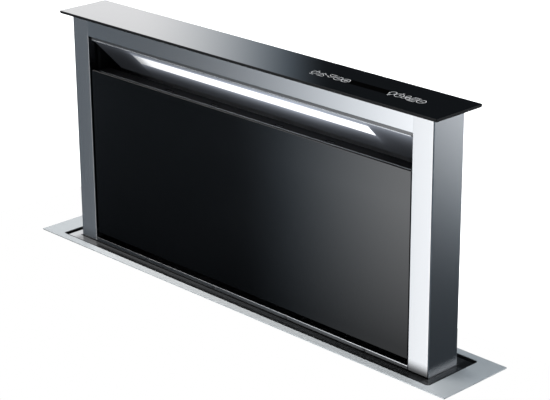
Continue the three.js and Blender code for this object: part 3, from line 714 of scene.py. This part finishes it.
# ------------------------------------------------------------------ columns and rails
def column(name, sign, node):
    bm = bmesh.new()
    cx = sign * 361.7
    bend = (1.2, 1.9) if sign > 0 else (1.9, 1.2)
    inner = rounded(17.6, 30.05, 0.8, 8, cx, 0.0)
    loops = []
    for z, inset in ((-200, 0.15), (-199.8, 0), (375.6, 0), (375.8, 0.15)):
        ring = rounded(18.8 - inset, 31.25 - inset, bend, 8, cx, 0.0)
        loops.append([up(x, y, z) for x, y in ring])
    loops.append([up(x, y, 375.8) for x, y in inner])
    loops.append([up(x, y, -200) for x, y in inner])
    loop_faces(bm, loops, closed=True)
    return finish_mesh(name, bm, STEEL_Z if sign > 0 else STEEL_ZL, "tower", (node,), 30.0)


column("column_tube_left", -1, "column_left")
column("column_tube_right", 1, "column_right")


def arc_path(corners, r, steps=5):
    """Rounds the inner corners of an open path of (u, v) points."""
    out = [corners[0]]
    for a, b, c in zip(corners, corners[1:], corners[2:]):
        A, B, C = Vector(a), Vector(b), Vector(c)
        d1, d2 = (A - B).normalized(), (C - B).normalized()
        cut = min(r / math.tan(max(1e-3, d1.angle(d2) / 2)), (A - B).length * 0.45, (C - B).length * 0.45)
        p, q = B + d1 * cut, B + d2 * cut
        for i in range(steps + 1):
            t = i / steps
            out.append(tuple((1 - t) ** 2 * p + 2 * t * (1 - t) * B + t * t * q))
    out.append(corners[-1])
    return out


def folded(name, path, thick, side, x0, x1, place, material, body, replaces=(), r=1.6, bevel=0.2):
    """Bent sheet: an open path of (y, z) with a bend radius, thickened to one side, along X."""
    line = [Vector(p) for p in arc_path(path, r)]
    off = []
    for i, p in enumerate(line):
        a = line[max(i - 1, 0)]
        b = line[min(i + 1, len(line) - 1)]
        d = (b - a).normalized()
        off.append(p + Vector((-d.y, d.x)) * thick * side)
    outline = [tuple(p) for p in line] + [tuple(p) for p in reversed(off)]
    bm = bmesh.new()
    n = len(line)
    rings = []
    for x in (x0, x1):
        rings.append([bm.verts.new(place(x, y, z)) for y, z in outline])
    m = len(outline)
    for i in range(m):
        j = (i + 1) % m
        bm.faces.new((rings[0][i], rings[0][j], rings[1][j], rings[1][i]))
    for ring in rings:  # ends as a strip of quads, so that a thin bent section stays flat
        for i in range(n - 1):
            bm.faces.new((ring[i], ring[i + 1], ring[m - 2 - i], ring[m - 1 - i]))
    return finish_mesh(name, bm, material, body, replaces, 30.0, bevel, 2)


folded("header", [(-28.4, 345.5), (-31.25, 345.5), (-31.25, 375.8), (-8, 375.8)], 1.2, -1, -344.0, 344.0, up, STEEL_HEADER, "tower", ("header_rail",), 1.1, 0.12)
folded("sill", [(-31.25, -12), (-31.25, 1.7), (-9, 1.7)], 1.2, -1, -342.6, 342.6, up, STEEL_SILL, "tower", ("bottom_rail",), 0.8, 0.1)
bm = bmesh.new()
extrude(bm, "x", [(-31.3, 1.0), (-30.4, 1.0), (-30.4, 2.2), (-31.3, 2.2)], -342.4, 342.4, up)
finish_mesh("sill_lip", bm, STEEL_LIP, "tower", (), 30.0, 0.15)

bm = bmesh.new()
extrude(bm, "y", rect(-342.6, 342.6, -200, 375.8), 30.05, 31.25, up)
finish_mesh("back_sheet", bm, STEEL_BACK, "tower", ("back_cover",), 30.0, 0.25, 2)
screws("back_screws", [(x, 31.25, z, "+y") for x in (-332, -166, 0, 166, 332) for z in (20, 190, 366)], SCREW, "tower", up, 3.2, flush=True)

# ------------------------------------------------------------------ light reflector and lamp
R0 = Vector((-27.5, 340.0))
R1 = Vector((29.0, 281.5))
SLOPE = (R1 - R0).normalized()
NORMAL = Vector((-SLOPE.y, SLOPE.x))
LENGTH = (R1 - R0).length
LAMP_S = (13.5, 37.9)  # the lamp lies between these on the slope


def along(s, n):
    p = R0 + SLOPE * s + NORMAL * n
    return (p.x, p.y)


def reflector():
    wide = 335.4
    bm = bmesh.new()
    # one sheet: a strip above the lamp window, a strip below it and the two ends beside it
    top, foot_ = LAMP_S[0] - 0.3, LAMP_S[1] + 0.3
    extrude(bm, "x", [along(0.6, 0), along(top, 0), along(top, 1), along(0.6, 1)], -wide, wide, up)
    low_part = [along(foot_, 0), along(LENGTH - 0.6, 0), along(LENGTH, 0.5), along(LENGTH - 0.4, 1), along(foot_, 1)]
    extrude(bm, "x", low_part, -wide, wide, up)
    side = [along(top, 0), along(foot_, 0), along(foot_, 1), along(top, 1)]
    extrude(bm, "x", side, -wide, -250.3, up)
    extrude(bm, "x", side, 250.3, wide, up)
    finish_mesh("lamp_reflector", bm, STEEL_REFLECTOR, "tower", ("light_reflector",), 30.0)
    # its folded front edge catches the light, and a closing strip fills the slot up to the header, its steel darkened
    # as painted shade
    bm = bmesh.new()
    extrude(bm, "x", [(-28.3, 338.8), (-27.0, 338.6), (-27.0, 340.1), (-28.3, 340.1)], -338, 338, up)
    finish_mesh("reflector_hem", bm, STEEL_HEADER, "tower", (), 30.0, 0.2)
    bm = bmesh.new()
    extrude(bm, "x", [(-27.0, 340.2), (-27.0, 351.5), (-25.8, 352.0), (-25.8, 340.6)], -341.6, 341.6, up)
    finish_mesh("intake_strip", bm, STEEL_SHADED_STRIP, "tower", (), 30.0, 0.15)


reflector()


def lamp():
    bm = bmesh.new()
    s0, s1 = LAMP_S
    prof = [along(s0, 1.6), along(s0, 0.3), along(s0 + 0.4, 0.0), along(s0 + 1.2, -0.1), along(s1 - 1.2, -0.1), along(s1 - 0.4, 0.0), along(s1, 0.3), along(s1, 1.6)]
    loops = []
    for x, k in ((-250, 0.25), (-249.6, 0.0), (249.6, 0.0), (250, 0.25)):
        ring = []
        for y, z in prof:
            ring.append(up(x, y, z))
        loops.append(ring)
    rings = [[bm.verts.new(p) for p in ring] for ring in loops]
    for a, b in zip(rings, rings[1:]):
        for i in range(len(prof)):
            j = (i + 1) % len(prof)
            bm.faces.new((a[i], a[j], b[j], b[i]))
    bm.faces.new(rings[0][::-1])
    bm.faces.new(rings[-1])
    return finish_mesh("lamp_cover", bm, LAMP, "tower", ("led_diffuser",), 30.0)


lamp()


# ------------------------------------------------------------------ front panel
def slab(name, x0, x1, y0, y1, z0, z1, edge, material, body, replaces, place=up, steps=3):
    """A plate with rounded arrises all round, made as rings along Z."""
    bm = bmesh.new()
    hx, hy = (x1 - x0) / 2, (y1 - y0) / 2
    cx, cy = (x0 + x1) / 2, (y0 + y1) / 2
    levels = []
    for i in range(steps + 1):
        a = math.pi / 2 * i / steps
        levels.append((z0 + edge * (1 - math.sin(a)), edge * (1 - math.cos(a))))
    levels = levels[::-1]
    ups = [(z1 - (z - z0), ins) for z, ins in levels][::-1]
    loops = [[place(x, y, z) for x, y in rounded(hx - ins, hy - ins, max(edge, 0.05), steps, cx, cy)] for z, ins in levels + ups]
    loop_faces(bm, loops, closed=False, cap=True)
    return finish_mesh(name, bm, material, body, replaces, 40.0)


pane = slab("panel_pane", -340, 340, -29.25, -25.25, 11, 290, 0.5, PANEL_GLASS, "front_panel", ("panel_glass",))
pane.data.materials.append(MATT_BLACK)
pane.data.materials.append(DISPLAY)
# painted shade: the pane's downward faces get the black display material, which shows no reflection
for face in pane.data.polygons:
    if face.normal.z < -0.1:
        face.material_index = 2
    elif abs(face.normal.y) < 0.35:
        face.material_index = 1
bm = bmesh.new()
extrude(bm, "x", [(-21.7, 288.2), (-21.0, 288.2), (-21.0, 288.9), (-21.12, 289.05), (-21.58, 289.05), (-21.7, 288.9)], -333.6, 333.6, up)
finish_mesh("panel_top_trim", bm, STEEL_TRIM, "front_panel", (), 30.0)


# ------------------------------------------------------------------ lid with its printed touch symbols
def lid():
    bm = bmesh.new()
    prof = [(396.3, 47.0, 1.5, 377.7), (396.3, 47.0, 1.5, 380.0), (396.2, 46.9, 1.4, 380.25), (395.95, 46.65, 1.2, 380.4)]
    loops = [[up(x, y, 377.4) for x, y in rounded(396.0, 46.7, 1.3, 5, 0, 2)]]
    for hx, hy, r, z in prof:
        loops.append([up(x, y, z) for x, y in rounded(hx, hy, r, 5, 0, 2)])
    loop_faces(bm, loops, closed=False, cap=True)
    o = finish_mesh("lid_pane", bm, GLASS, "tower", ("lid_glass",), 40.0)
    o.data.materials.append(GROUND_EDGE)
    for f in o.data.polygons:
        if abs(f.normal.z) < 0.9:
            f.material_index = 1
    return o


lid()
bm = bmesh.new()
extrude(bm, "z", rounded(395.8, 46.5, 1.4, 4, 0, 2), 376.1, 377.3, up, [rect(94.7, 352.3, -9.3, 15.3)[::-1]])
finish_mesh("lid_carrier", bm, INNER_BLACK, "tower", ("lid_plate",), 30.0)

LIFT = 0.035  # print thickness


SIGN = [0.0, 0.0, 1.0, 1.0]  # centre of the sign being drawn, and how far it is stretched in X and Y


def ink(bm, pts):
    cx, cy, sx, sy = SIGN
    extrude(bm, "z", [(cx + (x - cx) * sx, cy + (y - cy) * sy) for x, y in pts], 380.39, 380.4 + LIFT, up)


def ink_ring(bm, cx, cy, r, w, a0=0.0, a1=360.0, sy=1.0):
    n = max(8, int(abs(a1 - a0) / 15))
    full = abs(a1 - a0) >= 359.9
    angles = [math.radians(a0 + (a1 - a0) * i / n) for i in range(n + (0 if full else 1))]
    outer = [(cx + (r + w / 2) * math.cos(a), cy + sy * (r + w / 2) * math.sin(a)) for a in angles]
    inner = [(cx + (r - w / 2) * math.cos(a), cy + sy * (r - w / 2) * math.sin(a)) for a in angles]
    if full:  # two halves, so that each is one plain outline
        half = n // 2
        ink(bm, outer[:half + 1] + inner[:half + 1][::-1])
        ink(bm, outer[half:] + outer[:1] + inner[:1] + inner[half:][::-1])
    else:
        ink(bm, outer + inner[::-1])


def ink_line(bm, x0, y0, x1, y1, w):
    d = Vector((x1 - x0, y1 - y0)).normalized() * (w / 2)
    ink(bm, [(x0 - d.y, y0 + d.x), (x1 - d.y, y1 + d.x), (x1 + d.y, y1 - d.x), (x0 + d.y, y0 - d.x)])


def symbols():
    """Ten plain touch signs, each a ring about 11 mm across with a sign in it and a short bar or dot at each end."""
    bm = bmesh.new()
    w = 0.6

    def ring(x, y, r=5.2):
        ink_ring(bm, x, y, r, w)

    def power(x, y):
        ink_ring(bm, x, y, 4.6, w, 118, 422)
        ink_line(bm, x, y + 0.4, x, y + 7.0, w)
        ink_line(bm, x - 3.0, y - 7.4, x + 3.0, y - 7.4, w)

    def minus(x, y):
        ring(x, y)
        ink_line(bm, x - 3.0, y, x + 3.0, y, w)

    def plus(x, y):
        ring(x, y)
        ink_line(bm, x - 3.0, y, x + 3.0, y, w)
        ink_line(bm, x, y - 3.0, x, y - w / 2 - 0.02, w)
        ink_line(bm, x, y + w / 2 + 0.02, x, y + 3.0, w)

    def fan(x, y):
        for a in (90, 210, 330):
            c = math.radians(a)
            ink_ring(bm, x + 3.6 * math.cos(c), y + 3.6 * math.sin(c), 2.6, w)
        ink_ring(bm, x, y, 0.9, w * 0.6)

    def lamp_sign(x, y):
        ink_ring(bm, x, y + 1.6, 4.3, w, -55, 235)
        ink_line(bm, x - 2.4, y - 3.4, x + 2.4, y - 3.4, w)
        ink_line(bm, x - 1.8, y - 5.4, x + 1.8, y - 5.4, w)
        ink_line(bm, x - 1.0, y - 7.3, x + 1.0, y - 7.3, w)

    def clock(x, y):
        ring(x, y, 5.4)
        ink_line(bm, x, y + 0.5, x, y + 3.8, w)
        ink_line(bm, x - 0.5, y, x + 3.2, y, w)
        ink_line(bm, x - 1.4, y + 7.4, x + 1.4, y + 7.4, w)

    def grid(x, y):
        for k in (-4.0, -1.35, 1.35, 4.0):
            ink_line(bm, x + k, y - 5.4, x + k, y + 5.4, w * 0.8)
        ink_line(bm, x - 4.8, y + 6.4, x + 4.8, y + 6.4, w)
        ink_line(bm, x - 4.8, y - 6.4, x + 4.8, y - 6.4, w)

    def rise(x, y, s):
        for k in (-3.4, 0.6):
            ink_line(bm, x - 4.6, y + (k - 0.6) * s, x, y + (k + 3.2) * s, w)
            ink_line(bm, x + 4.6, y + (k - 0.6) * s, x, y + (k + 3.2) * s, w)
        ink_line(bm, x - 4.8, y - 6.2 * s, x + 4.8, y - 6.2 * s, w)

    y0 = -2.6
    first = zip((power, lambda a, b: rise(a, b, 1), lambda a, b: rise(a, b, -1), minus, plus), (134.5, 149.2, 163.9, 178.6, 193))
    second = zip((lamp_sign, clock, fan, grid, minus), (278.5, 291.8, 305.1, 318.4, 331.5))
    for signs, y in ((first, y0), (second, y0 + 1.2)):
        for f, x in signs:
            SIGN[:] = [x, y, 1.25, 1.3]
            f(x, y)
    return finish_mesh("touch_symbols", bm, PRINT, "tower", (), 30.0)


symbols()
bm = bmesh.new()
extrude(bm, "z", [(197, -9.4), (275, -9.4), (275, 6.2), (197, 6.2)], 380.385, 380.4 + 0.02, up)
finish_mesh("display_strip", bm, DISPLAY, "tower", (), 30.0)


# ------------------------------------------------------------------ grease filters
def grease_filter(name, sign, node):
    tilt = math.atan(24.0 / 244.0)
    cx, cy, cz = sign * 170.2, 10.2, 161.0

    def place(x, y, z):
        c, s = math.cos(tilt), math.sin(tilt)
        return up(cx + x, cy + y * c - z * s, cz + y * s + z * c)

    bm = bmesh.new()
    for y0, y1 in ((-4.0, 4.0),):
        outer = rounded(169, 122.5, 2.0, 4)
        inner = rounded(158.5, 112, 1.5, 4)
        rings = []
        for poly, y, inset in ((outer, -3.6, 0), (outer, 3.6, 0)):
            rings.append([place(u, y, v) for u, v in poly])
        rings.append([place(u, 4.0, v) for u, v in rounded(168.6, 122.1, 1.8, 4)])
        rings.append([place(u, 4.0, v) for u, v in rounded(159, 112.5, 1.5, 4)])
        rings.append([place(u, 3.6, v) for u, v in inner])
        rings.append([place(u, -3.6, v) for u, v in inner])
        rings.append([place(u, -4.0, v) for u, v in rounded(159, 112.5, 1.5, 4)])
        rings.append([place(u, -4.0, v) for u, v in rounded(168.6, 122.1, 1.8, 4)])
        loop_faces(bm, rings, closed=True)
    finish_mesh(name + "_rim", bm, ALUMINIUM, "tower", (node,), 35.0)

    bm = bmesh.new()
    a = math.atan2(4.2, 9.0)
    step = 4.4 / math.cos(a) * 2
    hx, hz = 158.8, 112.3
    for y0, y1 in ((-3.1, -2.5), (2.5, 3.1)):
        for s in (-1, 1):
            yy0, yy1 = (y0, y1) if s > 0 else (y0 + 0.35, y1 + 0.35)
            k = -(hz + hx * math.tan(a))
            while k < hz + hx * math.tan(a):
                # the line z = k + s * tan(a) * x, clipped to the well
                x0, x1 = -hx, hx
                m = s * math.tan(a)
                for edge in (-hz, hz):
                    x_at = (edge - k) / m
                    z0, z1 = k + m * x0, k + m * x1
                    if edge < 0:
                        if z0 < edge and z1 < edge:
                            x0 = x1
                        elif z0 < edge:
                            x0 = x_at
                        elif z1 < edge:
                            x1 = x_at
                    else:
                        if z0 > edge and z1 > edge:
                            x0 = x1
                        elif z0 > edge:
                            x0 = x_at
                        elif z1 > edge:
                            x1 = x_at
                if x1 - x0 > 3:
                    d = Vector((1, m)).normalized() * 0.4
                    p0, p1 = (x0, k + m * x0), (x1, k + m * x1)
                    extrude(bm, "y", [(p0[0] - d.y, p0[1] + d.x), (p1[0] - d.y, p1[1] + d.x), (p1[0] + d.y, p1[1] - d.x), (p0[0] + d.y, p0[1] - d.x)], yy0, yy1, place)
                k += step
    finish_mesh(name + "_mesh", bm, MESH_METAL, "tower", (), 30.0)

    bm = bmesh.new()
    extrude(bm, "y", rect(-158.6, 158.6, -112.1, 112.1), -1.4, 1.4, place)
    finish_mesh(name + "_core", bm, MESH_METAL, "tower", (), 30.0)

    bm = bmesh.new()
    loops = []
    for ins, y in ((0.6, -3.9), (0, -3.6), (0, -1.6), (0.6, -1.3)):
        loops.append([place(u, y, v) for u, v in rounded(35 - ins, 6 - ins, 2.5, 5, 0, 96)])
    inner = []
    for ins, y in ((0.6, -1.3), (0, -1.6), (0, -3.6), (0.6, -3.9)):
        inner.append([place(u, y, v) for u, v in rounded(31.5 + ins * 0.5, 3.0 + ins * 0.5, 1.2, 5, 0, 96)])
    loop_faces(bm, loops + inner, closed=True)
    finish_mesh(name + "_grip", bm, SCREW, "tower", (), 35.0)


grease_filter("filter_left", -1, "grease_filter_left")
grease_filter("filter_right", 1, "grease_filter_right")


# ------------------------------------------------------------------ duct collar
def collar():
    bm = bmesh.new()
    cy, cz = -131.5, 312.0
    prof = [(74.5, 216.8), (74.5, 224.0), (75.6, 225.4), (75.6, 227.4), (74.5, 228.8), (74.5, 262.0), (75.4, 263.2), (75.4, 264.8), (74.5, 266.0),
            (74.5, 274.5), (74.1, 276.4), (73.6, 277.0), (73.1, 276.6), (73.0, 275.5), (73.0, 215.6), (74.0, 215.4)]
    turned(bm, "x", (cy, cz), prof, low, 72)
    finish_mesh("duct_spigot", bm, ZINC, "housing", ("outlet_collar",), 40.0)
    bm = bmesh.new()
    extrude(bm, "x", rounded(77, 77, 3, 4, cy, cz), 215.35, 216.8, low, [circle(cy, cz, 73.2, 48)[::-1]])
    finish_mesh("duct_plate", bm, ZINC, "housing", (), 30.0, 0.3)
    bm = bmesh.new()
    turned(bm, "z", (240.0, cy), [(0, cz - 73.4), (2, cz - 73.4), (2, cz + 73.4), (0, cz + 73.4)], low, 16)
    finish_mesh("damper_pin", bm, SCREW, "housing", (), 40.0)
    bm = bmesh.new()
    turned(bm, "x", (cy, cz), [(73.05, 237.2), (73.05, 238.8), (70.4, 238.6), (70.0, 238.0), (70.4, 237.4)], low, 64)
    finish_mesh("damper_seat", bm, RUBBER, "housing", (), 40.0)
    screws("collar_screws", [(216.8, cy + a, cz + b, "+x") for a in (-70, 70) for b in (-70, 70)], SCREW, "housing", low, 2.8, 1.3)


collar()


# ------------------------------------------------------------------ gland and feet
def gland():
    bm = bmesh.new()
    x, y = -280.0, -85.0
    prof = [(4, 428), (6.4, 428), (7.2, 428.6), (8.4, 431), (8.9, 433.0), (8.9, 434.6), (8.2, 435.0), (8.2, 447), (4, 447)]
    turned(bm, "z", (x, y), prof, low, 40)
    for z0, z1, across, turn in ((431.6, 436.8, 19.4, 0.3), (436.9, 439.8, 21.0, 0.0), (442.4, 446.4, 20.5, 0.5)):
        extrude(bm, "z", hexagon(x, y, across, turn), z0, z1, low, [circle(x, y, 8.15, 24)[::-1]])
    for i in range(18):
        a = 2 * math.pi * i / 18
        cx, cy = x + 8.3 * math.cos(a), y + 8.3 * math.sin(a)
        turned(bm, "z", (cx, cy), [(0, 429.6), (0.5, 429.8), (0.5, 433.6), (0, 433.8)], low, 6)
    finish_mesh("cable_gland", bm, BLACK_PLASTIC, "housing", ("mains_gland",), 40.0)


gland()


def foot(name, node, x, y, top):
    bm = bmesh.new()
    turned(bm, "z", (x, y), [(0, 0), (16.6, 0), (17.6, 0.7), (18, 1.8), (18, 4.2), (17.2, 5.2), (13, 6.2), (8.4, 8.2), (7, 9.0), (0, 9.0)], low, 48)
    finish_mesh(name + "_pad", bm, RUBBER, "housing", (node,), 40.0)
    bm = bmesh.new()
    prof = [(0, 8.8), (3.6, 8.8)]
    z = 9.2
    while z < top - 7.2:
        prof += [(3.45, z), (4.0, z + 0.35), (4.0, z + 0.55), (3.45, z + 0.9)]
        z += 1.25
    prof += [(3.6, top - 6.9), (0, top - 6.9)]
    turned(bm, "z", (x, y), prof, low, 28)
    extrude(bm, "z", hexagon(x, y, 13), 9.2, 13.6, low)
    extrude(bm, "z", hexagon(x, y, 13, 0.4), top - 6.9, top, low)
    finish_mesh(name + "_stud", bm, SCREW, "housing", (), 35.0)


foot("foot_a", "foot_rear_left", -350, 28, 40.0)
foot("foot_b", "foot_rear_right", 350, 28, 40.0)
foot("foot_c", "foot_front_left", -180, -215, 41.2)
foot("foot_d", "foot_front_right", 180, -215, 41.2)

# ------------------------------------------------------------------ fasteners and trims on the housing
screws("casing_front_screws", [(x, -54, z, "-y") for x in (-399, 399) for z in (60, 220, 380, 540, 680)] +
       [(x, -54, z, "-y") for z in (685,) for x in (-240, -80, 80, 240)], SCREW, "housing", low, 3.0, 1.3)
screws("casing_back_screws", [(x, 54, z, "+y") for x in (-399, 399) for z in (60, 220, 380, 540, 680)] +
       [(x, 54, z, "+y") for z in (56, 685) for x in (-240, -80, 80, 240)], SCREW, "housing", low, 3.0, 1.3)
screws("casing_end_screws", [(s * 406, y, z, ("+" if s > 0 else "-") + "x") for s in (-1, 1) for y in (10, 26) for z in (90, 360, 640)],
       SCREW, "housing", low, 3.0, 1.3)
screws("blower_screws", [(x, -249.35, z, "-y") for x in (-207, -104, 0, 104, 207) for z in (50, 410)] +
       [(x, -249.35, z, "-y") for x in (-207, 207) for z in (170, 290)], SCREW, "housing", low, 3.2, 1.4)
# two stiffening beads pressed into the blower's cover, and louvres in the control box's lid
def pressed_frame(bm, cx, cz, hx, hz, r, face, high):
    loops = []
    for inset, out in ((0, -0.15), (0.5, 0.45), (1.6, 0.85), (3.4, 1.0), (5.2, 0.85), (6.3, 0.45), (6.8, -0.15)):
        loops.append([low(u, face - out * high, w) for u, w in rounded(hx - inset, hz - inset, r - inset, 8, cx, cz)])
    loop_faces(bm, loops, closed=True)


bm = bmesh.new()
pressed_frame(bm, 0, 230.25, 187, 160, 22, -249.35, 1.2)
pressed_frame(bm, 0, 230.25, 128, 101, 16, -249.35, 1.2)
finish_mesh("blower_cover_beads", bm, ZINC, "housing", (), 30.0)
bm = bmesh.new()
for k in range(7):
    z = 520 + 8.5 * k
    extrude(bm, "x", [(-116.2, z), (-117.35, z + 0.5), (-117.6, z + 1.2), (-117.35, z + 1.9), (-116.2, z + 4.6)], -352, -284, low)
finish_mesh("control_lid_louvres", bm, GREY_PLASTIC, "housing", (), 30.0)

screws("control_lid_screws", [(x, -116.3, z, "-y") for x in (-391, -245) for z in (447, 593)], SCREW, "housing", low, 2.8, 1.2)

# ------------------------------------------------------------------ stage: floor and a piece of worktop
def make_floor_material():
    m = bpy.data.materials.new("pale_floor")
    m.use_nodes = True
    t = Tree(m.node_tree)
    m.node_tree.nodes.clear()
    out = t.nodes.new("ShaderNodeOutputMaterial")
    d = t.nodes.new("ShaderNodeBsdfDiffuse")
    d.inputs["Color"].default_value = (0.8, 0.8, 0.8, 1)
    e = t.nodes.new("ShaderNodeEmission")
    e.inputs["Color"].default_value = (1, 1, 1, 1)
    e.inputs["Strength"].default_value = 0.62
    a = t.nodes.new("ShaderNodeAddShader")
    t.links.new(d.outputs[0], a.inputs[0])
    t.links.new(e.outputs[0], a.inputs[1])
    t.links.new(a.outputs[0], out.inputs["Surface"])
    return m


def make_glow(name, value):
    m = bpy.data.materials.new(name)
    m.use_nodes = True
    t = Tree(m.node_tree)
    m.node_tree.nodes.clear()
    out = t.nodes.new("ShaderNodeOutputMaterial")
    e = t.nodes.new("ShaderNodeEmission")
    e.inputs["Color"].default_value = (value, value, value, 1)
    t.links.new(e.outputs[0], out.inputs["Surface"])
    return m


def stage_object(name, bm, *materials):
    data = bpy.data.meshes.new(name)
    bm.to_mesh(data)
    bm.free()
    for m in materials:
        data.materials.append(m)
    o = bpy.data.objects.new(name, data)
    scene.collection.objects.link(o)
    return o


bm = bmesh.new()
bmesh.ops.create_grid(bm, x_segments=2, y_segments=2, size=9.0)
floor = stage_object("floor", bm, make_floor_material())
floor.visible_glossy = False

bm = bmesh.new()
extrude(bm, "z", rect(-560, 560, -500, 120), -30, -1.45, up, [rect(-440, 440, FY - 65.7, FY + 65.7)[::-1]])
bmesh.ops.recalc_face_normals(bm, faces=bm.faces)
# the top glows plain white; the edges glow dimmer as painted shade
for f in bm.faces:
    f.material_index = 0 if f.normal.z > 0.9 else 1
worktop = stage_object("worktop", bm, make_glow("worktop_top", 1.0), make_glow("worktop_edge_painted_shade", 0.80))
worktop.visible_glossy = False
worktop.visible_diffuse = False
worktop.visible_transmission = False
worktop.visible_shadow = False


# ------------------------------------------------------------------ soft studio surroundings
def make_world():
    world = bpy.data.worlds.new("studio")
    scene.world = world
    world.use_nodes = True
    t = Tree(world.node_tree)
    world.node_tree.nodes.clear()
    out = t.nodes.new("ShaderNodeOutputWorld")
    tc = t.nodes.new("ShaderNodeTexCoord")
    sep = t.nodes.new("ShaderNodeSeparateXYZ")
    t.links.new(tc.outputs["Generated"], sep.inputs[0])
    az = t.math("DEGREES", t.math("ARCTAN2", sep.outputs["Y"], sep.outputs["X"]))
    el = t.math("DEGREES", t.math("ARCSINE", sep.outputs["Z"]))

    def window(value, a, b, c, d):
        return t.math("MULTIPLY", t.ramp(value, a, b), t.ramp(value, c, d, 1.0, 0.0))

    def patch(azw, elw, strength):
        p = t.math("MULTIPLY", window(az, *azw), window(el, *elw))
        return t.math("MULTIPLY", p, strength)

    def add(*vals):
        total = vals[0]
        for v in vals[1:]:
            total = t.math("ADD", total, v)
        return total

    overhead = t.math("MULTIPLY", t.ramp(el, 27, 46, 0.0, 2.6), t.ramp(sep.outputs["Y"], 0.5, 0.0, 0.25, 1.0))
    left_wall = t.math("MULTIPLY", t.ramp(sep.outputs["X"], -0.595, -0.73, kind="LINEAR"), t.ramp(el, 6, 22))
    left_wall = t.math("MULTIPLY", left_wall, t.math("MULTIPLY", t.ramp(sep.outputs["Y"], 0.12, -0.08), 2.9))
    base = t.math("SUBTRACT", t.ramp(el, -60, -32, 0.30, 0.05), t.ramp(el, 0, 10, 0.0, 0.03))
    turn = t.math("MAXIMUM", t.math("MINIMUM", t.math("SUBTRACT", az, 50.0), 2.5), -2.5)
    slant = t.math("ADD", el, t.math("MULTIPLY", turn, 1.4))
    behind = t.math("MULTIPLY", window(az, 8, 30, 70, 90), window(slant, -20.1, -15.3, 2, 14))
    level = add(
        base,
        overhead,
        left_wall,
        t.math("MULTIPLY", behind, 1.75),                              # behind right
        patch((133.9, 140.4, 145, 153), (-8, 4, 26, 38), 2.5),         # soft box behind left
        patch((-137.0, -130.3, -112, -98), (-38, -31, -6, 6), 2.05),    # soft box in front
        patch((-128, -122, -110, -102), (-38, -31, -6, 6), 1.9),        # its brighter middle
        patch((-178, -170, -147.5, -140.5), (-40, -28, -2, 12), 0.29),
        patch((-100, -88, -70, -58), (-40, -20, 4, 24), 0.25),
        patch((-30, -16, 10, 24), (-40, -20, 4, 24), 0.35),
        patch((84, 92, 110, 124), (-40, -20, 4, 24), 0.35),
    )
    # dim parts of the studio are bluish, its bright parts neutral
    mixed = t.nodes.new("ShaderNodeCombineColor")
    for i, k in enumerate((0.09, 0.0, -0.075)):
        tone = t.math("POWER", t.math("MAXIMUM", t.math("DIVIDE", level, 2.4), 0.12), k) if k else 1.0
        t.put(mixed.inputs[i], t.math("MULTIPLY", t.math("MULTIPLY", level, tone), (0.985, 0.995, 1.012)[i]))
    seen = t.nodes.new("ShaderNodeBackground")
    seen.inputs["Color"].default_value = (1, 1, 1, 1)
    seen.inputs["Strength"].default_value = 1.0
    lit = t.nodes.new("ShaderNodeBackground")
    t.links.new(mixed.outputs[0], lit.inputs["Color"])
    lit.inputs["Strength"].default_value = 1.0
    path = t.nodes.new("ShaderNodeLightPath")
    mix = t.nodes.new("ShaderNodeMixShader")
    t.links.new(path.outputs["Is Camera Ray"], mix.inputs[0])
    t.links.new(lit.outputs[0], mix.inputs[1])
    t.links.new(seen.outputs[0], mix.inputs[2])
    t.links.new(mix.outputs[0], out.inputs["Surface"])


make_world()
